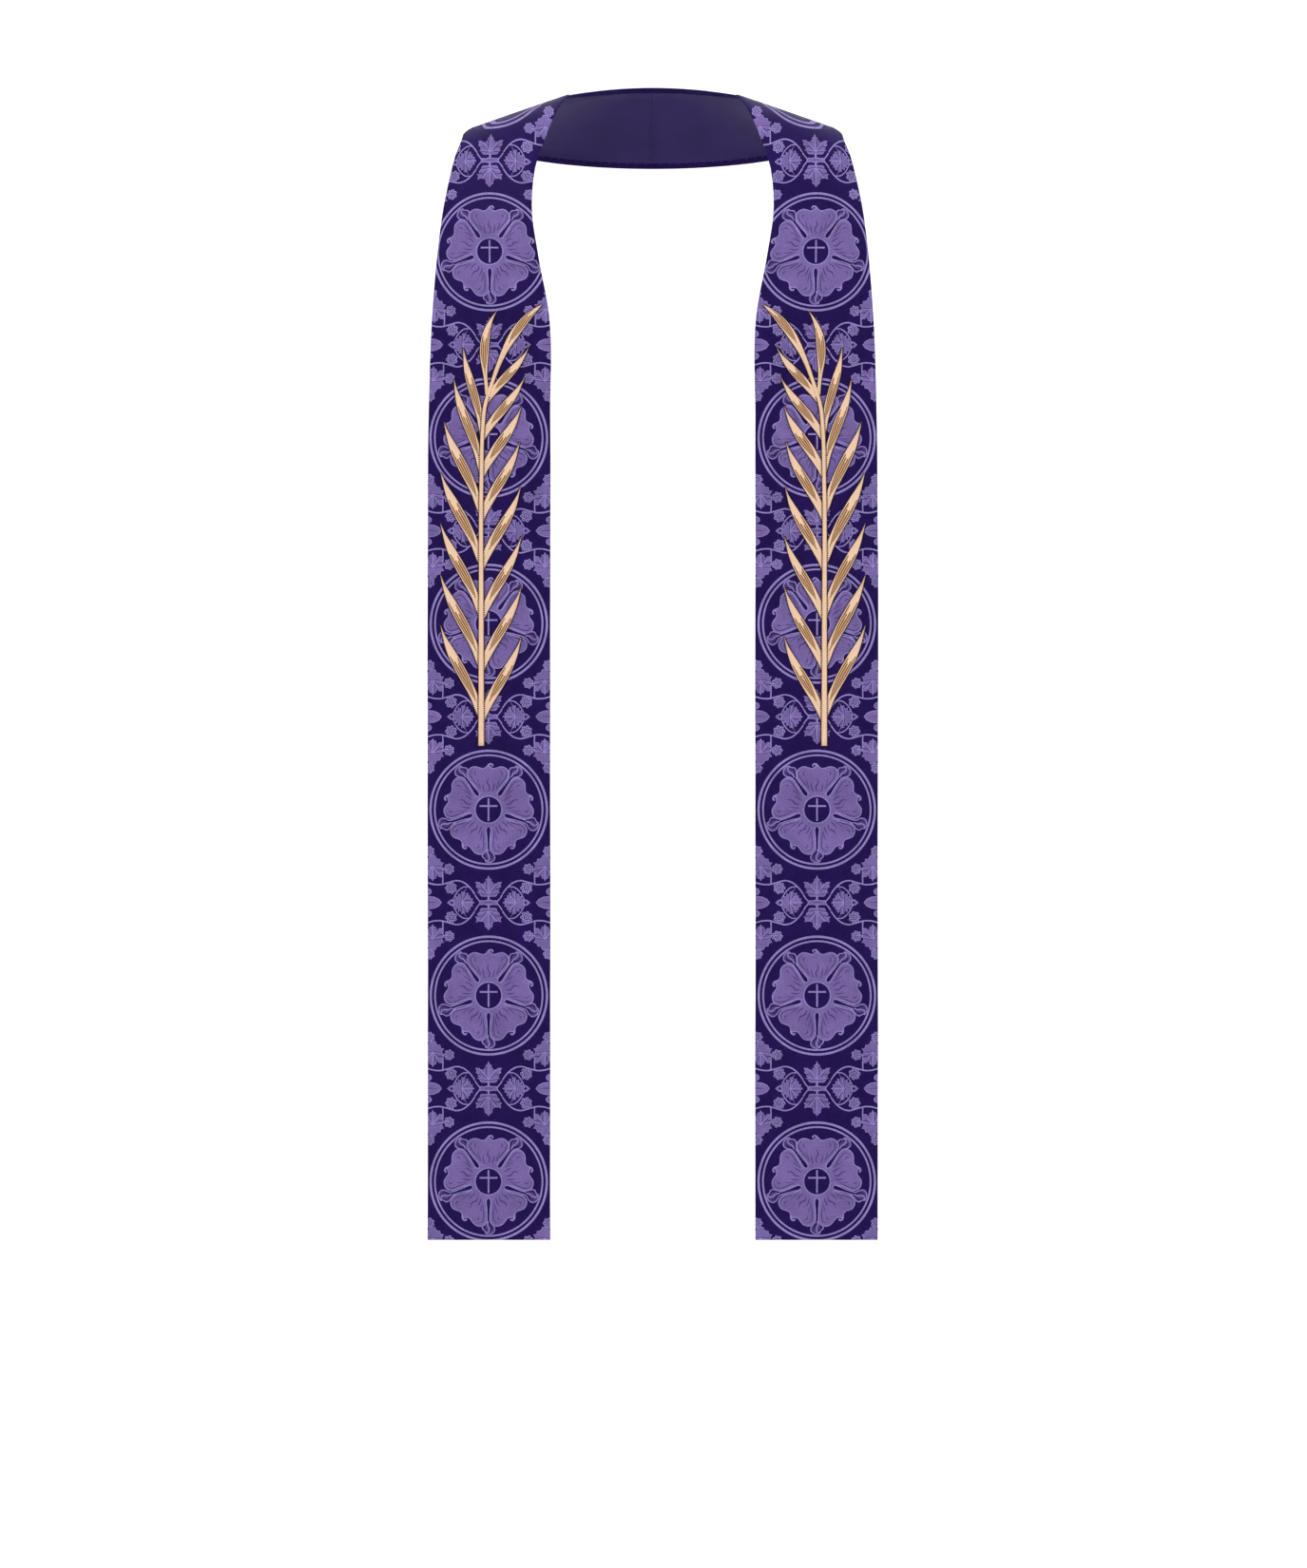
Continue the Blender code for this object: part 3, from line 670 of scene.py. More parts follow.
def make_panel(side, cloth, woven):
    """One panel as a closed shell. Its slots are the brocade and the lining."""
    mesh = flat_panel(cloth, *woven)
    close_behind(mesh, cloth)
    lay_flat(mesh, cloth)
    flat = np.array([v.co for v in mesh.verts])
    share, height, layer = flat.T
    edge_share = ROUND / (FRONT_WIDTH / 2)
    fallen = ROUND * np.maximum(
        softened((np.abs(share) - 1 + edge_share) / edge_share), softened((ROUND - height) / ROUND)
    )
    fallen = np.maximum(fallen, 0.5 * ROUND * softened((height - cloth.length + ROUND) / ROUND))
    in_lining = np.clip((LINING_SHARE + LINING_STEP - np.abs(share)) / LINING_STEP, 0.0, 1.0)
    in_lining *= np.clip((height - LINING_HEM + LINING_FALL) / LINING_FALL, 0.0, 1.0)
    off = np.where(layer > 0.5, -fallen, -WALL + fallen + LINING_SUNK * in_lining)
    points = cloth.point(height, share, off) * MM
    tone_layer = mesh.faces.layers.float["tone"]
    grain = mesh.loops.layers.uv.new("grain")
    out = np.interp(height, cloth.height, cloth.grain_out) + share * cloth.half_width(height)
    up = np.interp(height, cloth.height, cloth.grain_up)
    up += share * np.interp(height, cloth.height, cloth.grain_tilt)
    mesh.verts.index_update()
    for face in mesh.faces:
        middle = face.calc_center_median()
        inside = middle.z < 0.5
        lined = inside and abs(middle.x) < LINING_SHARE and middle.y > LINING_HEM
        face.material_index = 1 if lined else 0
        if middle.z < 0.99:
            face[tone_layer] = GROUND
        for loop in face.loops:
            i = loop.vert.index
            loop[grain].uv = (out[i] * MM, up[i] * MM)
        face.smooth = True
    for vertex, point in zip(mesh.verts, points):
        vertex.co = point
    if side == "right":
        for vertex in mesh.verts:
            vertex.co.x = -vertex.co.x
        bmesh.ops.reverse_faces(mesh, faces=mesh.faces)
    data = bpy.data.meshes.new(f"brocade_panel_{side}")
    mesh.to_mesh(data)
    mesh.free()
    piece = bpy.data.objects.new(f"brocade_panel_{side}", data)
    bpy.context.scene.collection.objects.link(piece)
    return piece


def linear(hexed):
    """An sRGB colour such as "2E2059" as linear numbers."""
    parts = [int(hexed[i : i + 2], 16) / 255 for i in (0, 2, 4)]
    return tuple(c / 12.92 if c <= 0.04045 else ((c + 0.055) / 1.055) ** 2.4 for c in parts) + (1.0,)


def add(tree, kind, settings=None, **inputs):
    """Adds one node to a material, with its settings, and its inputs as values or as links."""
    node = tree.nodes.new(kind)
    for name, value in (settings or {}).items():
        setattr(node, name, value)
    for name, value in inputs.items():
        numbered = name[0] == "i" and name[1:].isdigit()
        socket = node.inputs[int(name[1:]) if numbered else name.replace("_", " ")]
        if isinstance(value, bpy.types.NodeSocket):
            tree.links.new(value, socket)
        else:
            socket.default_value = value
    return node


def new_material(name):
    """A material and its tree, with a Principled surface."""
    made = bpy.data.materials.new(name)
    made.use_nodes = True
    return made, made.node_tree, made.node_tree.nodes["Principled BSDF"]


# Silk and rayon brocade: a dark satin ground with a soft shine, and a figure of paler weft that
# lies a little duller over it
brocade, tree, surface = new_material("purple_brocade")
grain_uv = add(tree, "ShaderNodeUVMap", {"uv_map": "grain"}).outputs["UV"]
tone = add(
    tree, "ShaderNodeAttribute", {"attribute_type": "GEOMETRY", "attribute_name": "tone"}
).outputs["Fac"]
tone_share = add(tree, "ShaderNodeMath", {"operation": "DIVIDE"}, i0=tone, i1=4.0).outputs[0]
colours = add(tree, "ShaderNodeValToRGB", Fac=tone_share)
ramp = colours.color_ramp
ramp.interpolation = "CONSTANT"
ramp.elements[0].color = linear("210D50")
ramp.elements[1].position, ramp.elements[1].color = 0.2, linear("54417F")
for position, colour in ((0.45, "7A67A6"), (0.7, "9585C2")):
    ramp.elements.new(position).color = linear(colour)
blotch = add(
    tree, "ShaderNodeTexNoise", Vector=grain_uv, Scale=38.0, Detail=3.0, Roughness=0.6
).outputs["Fac"]
blotch_range = add(
    tree, "ShaderNodeMapRange", Value=blotch, From_Min=0.3, From_Max=0.7, To_Min=0.8, To_Max=1.12
).outputs["Result"]
# Yarns of the figure vary one by one, which gives it its mottled look at 1 to 3 mm
mottle = add(
    tree, "ShaderNodeTexNoise", Vector=grain_uv, Scale=620.0, Detail=2.0, Roughness=0.7
).outputs["Fac"]
mottle_range = add(
    tree, "ShaderNodeMapRange", Value=mottle, From_Min=0.3, From_Max=0.7, To_Min=0.78, To_Max=1.2
).outputs["Result"]
variation = add(
    tree, "ShaderNodeMath", {"operation": "MULTIPLY"}, i0=blotch_range, i1=mottle_range
).outputs[0]
shaded = add(
    tree, "ShaderNodeVectorMath", {"operation": "SCALE"}, i0=colours.outputs["Color"], Scale=variation
)
# Satin threads run up the cloth. They are 0.25 mm apart and are drawn at 0.7 mm, so that they show,
# and the figure's weft floats across it, 0.3 mm apart and drawn at 0.8 mm.
threads = add(tree, "ShaderNodeVectorMath", {"operation": "MULTIPLY"}, i0=grain_uv, i1=(1400.0, 130.0, 1.0))
warp = add(tree, "ShaderNodeTexNoise", Vector=threads.outputs["Vector"], Scale=1.0, Detail=1.0).outputs["Fac"]
floats = add(tree, "ShaderNodeVectorMath", {"operation": "MULTIPLY"}, i0=grain_uv, i1=(420.0, 1250.0, 1.0))
weft = add(tree, "ShaderNodeTexNoise", Vector=floats.outputs["Vector"], Scale=1.0, Detail=2.0).outputs["Fac"]
in_figure = add(tree, "ShaderNodeMath", {"operation": "GREATER_THAN"}, i0=tone, i1=0.5).outputs[0]
relief = add(tree, "ShaderNodeMix", {"data_type": "FLOAT"}, i0=in_figure, i2=warp, i3=weft).outputs[0]
# The threads' relief also scales the colour: painted highlight on their tops and painted shade between them
painted_relief_shading = add(
    tree, "ShaderNodeMapRange", Value=relief, From_Min=0.25, From_Max=0.75, To_Min=0.86, To_Max=1.13
)
colour_with_painted_thread_shading = add(
    tree, "ShaderNodeVectorMath", {"operation": "SCALE"},
    i0=shaded.outputs["Vector"], Scale=painted_relief_shading.outputs["Result"],
)
tree.links.new(colour_with_painted_thread_shading.outputs["Vector"], surface.inputs["Base Color"])
bump = add(tree, "ShaderNodeBump", Height=relief, Strength=0.5, Distance=0.0003)
tree.links.new(bump.outputs["Normal"], surface.inputs["Normal"])
dull = add(
    tree, "ShaderNodeMapRange", Value=in_figure, From_Min=0.0, From_Max=1.0, To_Min=0.5, To_Max=0.62
).outputs["Result"]
tree.links.new(dull, surface.inputs["Roughness"])
surface.inputs["Specular IOR Level"].default_value = 0.07
surface.inputs["Sheen Weight"].default_value = 0.02
surface.inputs["Sheen Roughness"].default_value = 0.4
surface.inputs["Sheen Tint"].default_value = linear("8C78C8")

# Satin lining: plain, smooth, a shade lighter than the brocade's ground
lining, tree, surface = new_material("purple_satin_lining")
grain_uv = add(tree, "ShaderNodeUVMap", {"uv_map": "grain"}).outputs["UV"]
soft = add(tree, "ShaderNodeTexNoise", Vector=grain_uv, Scale=30.0, Detail=3.0).outputs["Fac"]
shade = add(
    tree, "ShaderNodeMapRange", Value=soft, From_Min=0.3, From_Max=0.7, To_Min=0.88, To_Max=1.1
).outputs["Result"]
tint = add(tree, "ShaderNodeVectorMath", {"operation": "SCALE"}, i0=linear("31225F")[:3], Scale=shade)
tree.links.new(tint.outputs["Vector"], surface.inputs["Base Color"])
threads = add(tree, "ShaderNodeVectorMath", {"operation": "MULTIPLY"}, i0=grain_uv, i1=(1800.0, 120.0, 1.0))
warp = add(tree, "ShaderNodeTexNoise", Vector=threads.outputs["Vector"], Scale=1.0, Detail=1.0).outputs["Fac"]
bump = add(tree, "ShaderNodeBump", Height=warp, Strength=0.2, Distance=0.0002)
tree.links.new(bump.outputs["Normal"], surface.inputs["Normal"])
surface.inputs["Roughness"].default_value = 0.42
surface.inputs["Specular IOR Level"].default_value = 0.2
surface.inputs["Sheen Weight"].default_value = 0.05

# Each panel is cut as one strip, 1.405 m by 128.8 mm, narrowed over the shoulder
cloths = {"right": Cloth(0.4), "left": Cloth(2.3)}
woven = woven_repeat()
for side, cloth in cloths.items():
    panel = make_panel(side, cloth, woven)
    panel.data.materials.append(brocade)
    panel.data.materials.append(lining)
    heights = np.linspace(0.0, cloth.length, 800)
    cut_area = float(np.mean(cloth.half_width(heights)) * 2 * cloth.length) * MM**2
    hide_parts(f"panel_{side}")
    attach(panel, "root")

# The embroidered leafy branches
# On each panel a branch of long pointed leaves is worked in thick rayon floss: satin stitch laid
# lengthwise over a padding, with brown threads shading the middle of each blade, and a row of dark
# split stitches all round. Its points are (out from the panel's middle, up from the hem).
STEM_POINTS = (
    (7.4, 512), (7.4, 650), (7.4, 790), (6.2, 840), (3.6, 866), (-0.4, 880), (-5.6, 896), (-11.1, 912),
)
STEM_HALF_WIDTHS = (3.2, 2.9, 2.6, 2.3, 2.1, 2.0)
# Each leaf: the height of its base on the stem, how far its tip lies out from it and up, and half
# its width. Each side has its own slopes at the two ends, its own widths at even steps from base
# to tip, as shares of the widest, and its own brown lens: where that starts, where it forks, and
# where its two prongs end, as shares of the leaf.
LEAF_COLUMNS = ("base", "reach", "rise", "half")
OUTER_LEAVES = (
    (540.8, 43.0, 95.8, 5.2), (593.8, 43.2, 95.6, 5.2), (647.1, 43.2, 95.4, 5.2),
    (701.4, 42.8, 93.8, 5.4), (753.2, 39.2, 94.2, 5.2), (795.0, 30.0, 97.0, 4.8),
    (833.0, 21.4, 92.0, 4.4),
)
INNER_LEAVES = (
    (536.8, -42.0, 88.6, 5.2), (589.3, -41.9, 87.8, 5.0), (642.0, -41.9, 87.8, 5.0),
    (694.8, -40.9, 85.6, 5.3), (745.8, -40.2, 81.8, 5.2), (791.6, -41.2, 71.6, 5.2),
    (829.8, -43.6, 64.2, 4.7), (867.3, -43.9, 57.2, 4.5),
)
OUTER_LEANS, INNER_LEANS = (-0.197, -0.149), (0.169, 0.215)
OUTER_WIDTHS = (0.6, 0.765, 0.785, 0.85, 0.94, 0.985, 0.95, 0.84, 0.57, 0.25, 0.03)
INNER_WIDTHS = (0.6, 0.7, 0.86, 0.94, 1.0, 0.985, 0.9, 0.73, 0.5, 0.2, 0.03)
OUTER_LENS, INNER_LENS = (0.17, 0.535, 0.645, 0.7), (0.235, 0.5, 0.665, 0.615)
STALKED_WIDTHS = (0.42, 0.42, 0.44, 0.62, 0.86, 1.0, 1.0, 0.88, 0.62, 0.3, 0.03)
LAST_WIDTHS = (0.48, 0.52, 0.58, 0.7, 0.88, 1.0, 1.0, 0.92, 0.72, 0.4, 0.03)
TOP_LEAVES = (
    {
        "base": (2.2, 876.0), "tip": (-7.6, 961.8), "half": 4.6, "leans": (0.2, -0.6),
        "widths": STALKED_WIDTHS, "lens": (0.24, 0.6, 0.79, 0.68),
    },
    {
        "base": (-5.6, 896.0), "tip": (-56.0, 969.6), "half": 4.6, "leans": (0.30, -0.353),
        "widths": LAST_WIDTHS, "lens": (0.4, 0.75, 0.9, 0.86),
    },
)
# The floss is 0.5 mm thick and is drawn at about 1 mm, so that it shows: nine threads to a leaf
LEAF_THREADS = 9
THREAD_HIGH = 0.2
THREAD_SIDES = 3
ON_CLOTH = 0.12
LEAF_ROWS, LEAF_EDGE, LEAF_CROWN = 60, 0.3, 0.5
STEM_THREADS, STEM_ROWS, STEM_EDGE, STEM_CROWN = 7, 80, 0.75, 0.6
LIGHT_THREAD, TAN_THREAD, BROWN_THREAD = 0.0, 1.0, 2.0
# The browns in the middle of a leaf: seven threads that draw together at the foot and fork at the
# top. Their share of the leaf's width, as (place from base to tip, share), for an outer leaf.
LENS_THREADS = 7
LENS_SHARES = (
    (0.0, 0.5), (0.15, 0.3), (0.2, 0.27), (0.3, 0.56), (0.42, 0.76), (0.54, 0.78), (0.68, 0.76), (0.8, 0.78),
)


def stem_out(up):
    """How far out the stem's middle is at a height."""
    return float(smooth_curve([p[1] for p in STEM_POINTS], STEM_POINTS, np.array([up]))[0, 0])


def stem_axis(share):
    """The stem's middle line at shares of its length."""
    up = STEM_POINTS[0][1] + share * (STEM_POINTS[-1][1] - STEM_POINTS[0][1])
    return smooth_curve([p[1] for p in STEM_POINTS], STEM_POINTS, up)


def stem_half_width(share):
    """Half the stem's width at shares of its length."""
    return smooth_curve(np.linspace(0.0, 1.0, len(STEM_HALF_WIDTHS)), STEM_HALF_WIDTHS, share)[:, 0]


def leaf_axis(leaf, share):
    """A leaf's middle line: its chord, bent to its slopes at the two ends."""
    base, tip = np.array(leaf["base"]), np.array(leaf["tip"])
    chord = tip - base
    first, last = leaf["leans"]
    bulge = first * share * (1 - share) ** 2 - last * share**2 * (1 - share)
    return base + share[:, None] * chord + bulge[:, None] * np.array([chord[1], -chord[0]])


def leaf_half_width(leaf, share):
    """Half a leaf's width, from its base at 0 to its tip at 1."""
    widths = leaf["widths"]
    return leaf["half"] * smooth_curve(np.linspace(0.0, 1.0, len(widths)), widths, share)[:, 0]


def branch_leaves():
    """Every leaf, with its base, tip, half width, leans, widths and lens."""
    leaves = []
    for rows, leans, widths, lens in (
        (OUTER_LEAVES, OUTER_LEANS, OUTER_WIDTHS, OUTER_LENS),
        (INNER_LEAVES, INNER_LEANS, INNER_WIDTHS, INNER_LENS),
    ):
        for row in rows:
            leaf = dict(zip(LEAF_COLUMNS, row), leans=leans, widths=widths, lens=lens)
            out, up = stem_out(leaf["base"]), leaf["base"]
            leaves.append({**leaf, "base": (out, up), "tip": (out + leaf["reach"], up + leaf["rise"])})
    return leaves + list(TOP_LEAVES)


def sideways(axis_of, share):
    """The direction square to a middle line, towards the panel's outer edge."""
    step = 1e-4
    heading = axis_of(np.minimum(share + step, 1.0)) - axis_of(np.maximum(share - step, 0.0))
    heading /= np.linalg.norm(heading, axis=1)[:, None]
    return np.column_stack([heading[:, 1], -heading[:, 0]])


def leaf_tones(leaf, thread, share):
    """The colour of a leaf's threads, by their number across, at shares of its length."""
    foot, fork, before, after = leaf["lens"]
    place = (thread - (LEAF_THREADS - 1) // 2) / ((LENS_THREADS - 1) / 2)
    wander = 0.008 * np.sin(5.1 * thread + leaf["base"][1])
    start = foot + 0.05 * place**2 + wander
    end = fork + (np.where(place < 0, before, after) - fork) * np.abs(place) ** 0.8 + 2 * wander
    shaded = (np.abs(place) < 1.1) & (share > start) & (share < end)
    brown = (thread - (LEAF_THREADS - 1) // 2) % 2 == 1
    return np.where(shaded, np.where(brown, BROWN_THREAD, TAN_THREAD), LIGHT_THREAD)


def leaf_spread(leaf, even, share):
    """Where a leaf's threads lie across it, from -1 to 1, given their even places."""
    along = np.clip(share - leaf["lens"][0] + OUTER_LENS[0], 0.0, LENS_SHARES[-1][0])
    wide = smooth_curve([p[0] for p in LENS_SHARES], [p[1] for p in LENS_SHARES], along)[:, 0]
    inner = LENS_THREADS / LEAF_THREADS
    size = np.abs(even)
    spread = np.where(size < inner, size * wide / inner, wide + (size - inner) * (1 - wide) / (1 - inner))
    return np.sign(even) * spread


def stem_tones(thread, share):
    """The stem is light, with a brown thread at each side."""
    return np.where((thread == STEM_THREADS - 1) | (thread == 0), TAN_THREAD, LIGHT_THREAD)


def satin_blade(axis_of, half_of, widest, threads, rows, edge, crown, tones_of, spread_of):
    """One blade of satin stitch in the flat, as a closed shell with a rib for each thread: its
    corners are (out, up, height off the cloth). Its thread UV runs across and along."""
    columns = threads * THREAD_SIDES
    bpy.ops.mesh.primitive_grid_add(x_subdivisions=columns, y_subdivisions=rows, size=2)
    blade = bpy.context.object
    bpy.ops.object.mode_set(mode="EDIT")
    bpy.ops.mesh.select_all(action="SELECT")
    bpy.ops.mesh.extrude_region_move(TRANSFORM_OT_translate={"value": (0, 0, 1)})
    bpy.ops.mesh.select_all(action="SELECT")
    bpy.ops.mesh.normals_make_consistent(inside=False)
    bpy.ops.object.mode_set(mode="OBJECT")
    data = blade.data
    grid = np.empty(len(data.vertices) * 3)
    data.vertices.foreach_get("co", grid)
    even, y, layer = grid.reshape(-1, 3).T
    share = (y + 1) / 2
    across = spread_of(even, share)
    half = half_of(share)
    swell = np.minimum(half / widest, 1.0)
    rib = np.abs(np.sin((even + 1) / 2 * threads * math.pi))
    high = edge * np.minimum(swell * 2.5, 1.0) * (1 - across**8) + crown * (1 - across**2) * swell
    high += THREAD_HIGH * rib * np.minimum(3 * swell, 1.0) + 0.08
    flat = axis_of(share) + sideways(axis_of, share) * (across * half)[:, None]
    data.vertices.foreach_set("co", np.column_stack([flat, ON_CLOTH + layer * high]).ravel())
    corners = np.empty(len(data.loops), dtype=np.int32)
    data.loops.foreach_get("vertex_index", corners)
    first = np.empty(len(data.polygons), dtype=np.int32)
    count = np.empty(len(data.polygons), dtype=np.int32)
    data.polygons.foreach_get("loop_start", first)
    data.polygons.foreach_get("loop_total", count)
    face_across = np.add.reduceat(even[corners], first) / count
    face_share = np.add.reduceat(share[corners], first) / count
    thread = np.clip(((face_across + 1) / 2 * threads).astype(int), 0, threads - 1)
    tone = data.attributes.new("tone", "FLOAT", "FACE")
    tone.data.foreach_set("value", tones_of(thread, face_share).astype(np.float32))
    length = float(np.linalg.norm(axis_of(np.array([1.0])) - axis_of(np.array([0.0]))))
    data.uv_layers.active.name = "thread"
    spots = np.column_stack([across * widest, share * length]) * MM
    data.uv_layers["thread"].data.foreach_set("uv", spots[corners].ravel())
    data.shade_smooth()
    return blade


def joined(pieces, name):
    """Several objects made one."""
    bpy.ops.object.select_all(action="DESELECT")
    for piece in pieces:
        piece.select_set(True)
    bpy.context.view_layer.objects.active = pieces[0]
    bpy.ops.object.join()
    pieces[0].name = pieces[0].data.name = name
    return pieces[0]


def laid_on(flat, cloth, side, name, behind=False):
    """A copy of a flat piece, its corners (out, up, height off the cloth), laid on a panel."""
    data = flat.data.copy()
    corners = np.empty(len(data.vertices) * 3)
    data.vertices.foreach_get("co", corners)
    out, up, off = corners.reshape(-1, 3).T
    points = cloth.point(up, out / cloth.half_width(up), -WALL - off if behind else off) * MM
    turn = (-1 if side == "right" else 1) * (-1 if behind else 1)
    if side == "right":
        points[:, 0] *= -1
    data.vertices.foreach_set("co", points.ravel())
    if turn < 0:
        data.flip_normals()
    data.name = name
    piece = bpy.data.objects.new(name, data)
    bpy.context.scene.collection.objects.link(piece)
    return piece


# Rayon floss: pale gold with a silky shine along the threads, and two browns laid in for shade
gold, tree, surface = new_material("gold_rayon_thread")
thread_uv = add(tree, "ShaderNodeUVMap", {"uv_map": "thread"}).outputs["UV"]
tone = add(
    tree, "ShaderNodeAttribute", {"attribute_type": "GEOMETRY", "attribute_name": "tone"}
).outputs["Fac"]
tone_share = add(tree, "ShaderNodeMath", {"operation": "DIVIDE"}, i0=tone, i1=3.0).outputs[0]
colours = add(tree, "ShaderNodeValToRGB", Fac=tone_share)
ramp = colours.color_ramp
ramp.interpolation = "CONSTANT"
ramp.elements[0].color = linear("F9D3B2")
ramp.elements[1].position, ramp.elements[1].color = 0.2, linear("DCAE80")
ramp.elements.new(0.5).color = linear("704424")
stretched = add(tree, "ShaderNodeVectorMath", {"operation": "MULTIPLY"}, i0=thread_uv, i1=(1100.0, 60.0, 1.0))
strands = add(
    tree, "ShaderNodeTexNoise", Vector=stretched.outputs["Vector"], Scale=1.0, Detail=2.0
).outputs["Fac"]
strand_range = add(
    tree, "ShaderNodeMapRange", Value=strands, From_Min=0.3, From_Max=0.7, To_Min=0.9, To_Max=1.07
).outputs["Result"]
tint = add(
    tree, "ShaderNodeVectorMath", {"operation": "SCALE"}, i0=colours.outputs["Color"], Scale=strand_range
)
tree.links.new(tint.outputs["Vector"], surface.inputs["Base Color"])
fine = add(tree, "ShaderNodeVectorMath", {"operation": "MULTIPLY"}, i0=thread_uv, i1=(5200.0, 420.0, 1.0))
filaments = add(
    tree, "ShaderNodeTexNoise", Vector=fine.outputs["Vector"], Scale=1.0, Detail=1.0
).outputs["Fac"]
bump = add(tree, "ShaderNodeBump", Height=filaments, Strength=0.35, Distance=0.0001)
tree.links.new(bump.outputs["Normal"], surface.inputs["Normal"])
surface.inputs["Roughness"].default_value = 0.45
surface.inputs["Specular IOR Level"].default_value = 0.3
surface.inputs["Sheen Weight"].default_value = 0.1

leaves = branch_leaves()
blades = [
    (lambda share, leaf=leaf: leaf_axis(leaf, share), lambda share, leaf=leaf: leaf_half_width(leaf, share))
    for leaf in leaves
]
satin = [
    satin_blade(
        axis_of, half_of, leaf["half"], LEAF_THREADS, LEAF_ROWS, LEAF_EDGE, LEAF_CROWN,
        lambda thread, share, leaf=leaf: leaf_tones(leaf, thread, share),
        lambda even, share, leaf=leaf: leaf_spread(leaf, even, share),
    )
    for leaf, (axis_of, half_of) in zip(leaves, blades)
]
blades.append((stem_axis, stem_half_width))
satin.append(
    satin_blade(
        stem_axis, stem_half_width, STEM_HALF_WIDTHS[0], STEM_THREADS, STEM_ROWS, STEM_EDGE, STEM_CROWN,
        stem_tones, lambda even, share: even,
    )
)
flat_branch = joined(satin, "flat_branch")
flat_branch.data.materials.append(gold)
for side, cloth in cloths.items():
    branch = laid_on(flat_branch, cloth, side, f"satin_stitch_branch_{side}")
    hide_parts(f"branch_{side}")
    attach(branch, "root")
bpy.data.objects.remove(flat_branch)

# The dark edge of the branches
# Round every leaf and down both sides of the stem runs a row of split stitches in thick matt
# cotton, each dipping into the cloth at its two ends.
STITCH_PITCH = 2.2
STITCH_SIZE = (1.6, 1.5, 1.0)
STITCH_OUT = 0.4
STITCH_LEAN = 0.14
STITCH_RAISED = 0.6
# Near its top the stem runs into the two last leaves
STEM_ROW_END = 0.9
EDGE_SAMPLES, BLADE_SAMPLES = 600, 160
PAST_END, BESIDE = 1.5, 0.25


def inside_blade(point, axis_of, half_of):
    """Whether a point of the flat lies on a blade or just beside it."""
    share = np.linspace(0.0, 1.0, BLADE_SAMPLES)
    away = np.linalg.norm(axis_of(share) - point, axis=1)
    nearest = int(np.argmin(away))
    if nearest in (0, len(share) - 1) and away[nearest] > PAST_END:
        return False
    return away[nearest] < half_of(share)[nearest] + BESIDE


def edge_places(blades):
    """(out, up, turn, rise) of the stitches round the blades, but for those under another. The
    stem, which comes last, lies over the feet of the leaves, and so does its row."""
    places = []
    for index, (axis_of, half_of) in enumerate(blades):
        share = np.linspace(0.0, 1.0, EDGE_SAMPLES)
        others = blades[:index] + blades[index + 1 :]
        on_top = index == len(blades) - 1
        for edge in (-1.0, 1.0):
            out = edge * (half_of(share) + STITCH_OUT)
            path = axis_of(share) + sideways(axis_of, share) * out[:, None]
            run = np.concatenate([[0.0], np.cumsum(np.linalg.norm(np.diff(path, axis=0), axis=1))])
            count = int(run[-1] / STITCH_PITCH)
            for at in (np.arange(count) + 0.5) * run[-1] / count:
                before, here, after = (
                    np.array([np.interp(at + step, run, path[:, k]) for k in (0, 1)])
                    for step in (-0.5, 0, 0.5)
                )
                covered = any(inside_blade(here, *other) for other in others)
                top_end = on_top and at > STEM_ROW_END * run[-1]
                if not covered or on_top and not top_end:
                    ahead = after - before
                    turn = math.atan2(ahead[1], ahead[0]) + edge * STITCH_LEAN
                    places.append((*here, turn, STITCH_RAISED if covered else 0.0))
    return places


def stitches(places, size, name):
    """A stitch at each place, (out, up, turn, rise), in the flat: one small bead of thread, copied."""
    bpy.ops.mesh.primitive_uv_sphere_add(segments=6, ring_count=4, radius=0.5)
    bead = bpy.context.object
    bead.data.transform(Matrix.Rotation(math.pi / 2, 4, "Y"))
    corners = np.array([v.co for v in bead.data.vertices]) * (size[1], size[0], size[2])
    faces = [tuple(face.vertices) for face in bead.data.polygons]
    bpy.data.objects.remove(bead)
    points, found = [], []
    for number, (out, up, turn, rise) in enumerate(places):
        turn += 0.05 * math.sin(7.3 * number)
        length = 1.0 + 0.08 * math.sin(3.7 * number)
        x, y = corners[:, 0] * length, corners[:, 1]
        found.extend(tuple(i + number * len(corners) for i in face) for face in faces)
        points.append(
            np.column_stack(
                [
                    out + x * math.cos(turn) - y * math.sin(turn),
                    up + x * math.sin(turn) + y * math.cos(turn),
                    ON_CLOTH + rise + size[2] / 2 + corners[:, 2],
                ]
            )
        )
    data = bpy.data.meshes.new(name)
    data.from_pydata(np.vstack(points), [], found)
    data.shade_smooth()
    made = bpy.data.objects.new(name, data)
    bpy.context.scene.collection.objects.link(made)
    return made


# Cotton: matt, near black brown
outline, tree, surface = new_material("dark_brown_cotton_thread")
place = add(tree, "ShaderNodeTexCoord").outputs["Object"]
speckle = add(tree, "ShaderNodeTexNoise", Vector=place, Scale=900.0, Detail=2.0).outputs["Fac"]
shade = add(
    tree, "ShaderNodeMapRange", Value=speckle, From_Min=0.3, From_Max=0.7, To_Min=0.6, To_Max=1.5
).outputs["Result"]
tint = add(tree, "ShaderNodeVectorMath", {"operation": "SCALE"}, i0=linear("2B1914")[:3], Scale=shade)
tree.links.new(tint.outputs["Vector"], surface.inputs["Base Color"])
bump = add(tree, "ShaderNodeBump", Height=speckle, Strength=0.4, Distance=0.0001)
tree.links.new(bump.outputs["Normal"], surface.inputs["Normal"])
surface.inputs["Roughness"].default_value = 0.8
surface.inputs["Specular IOR Level"].default_value = 0.15

flat_edging = stitches(edge_places(blades), STITCH_SIZE, "flat_edging")
flat_edging.data.materials.append(outline)
for side, cloth in cloths.items():
    edging = laid_on(flat_edging, cloth, side, f"outline_stitches_{side}")
    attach(edging, "root")
bpy.data.objects.remove(flat_edging)

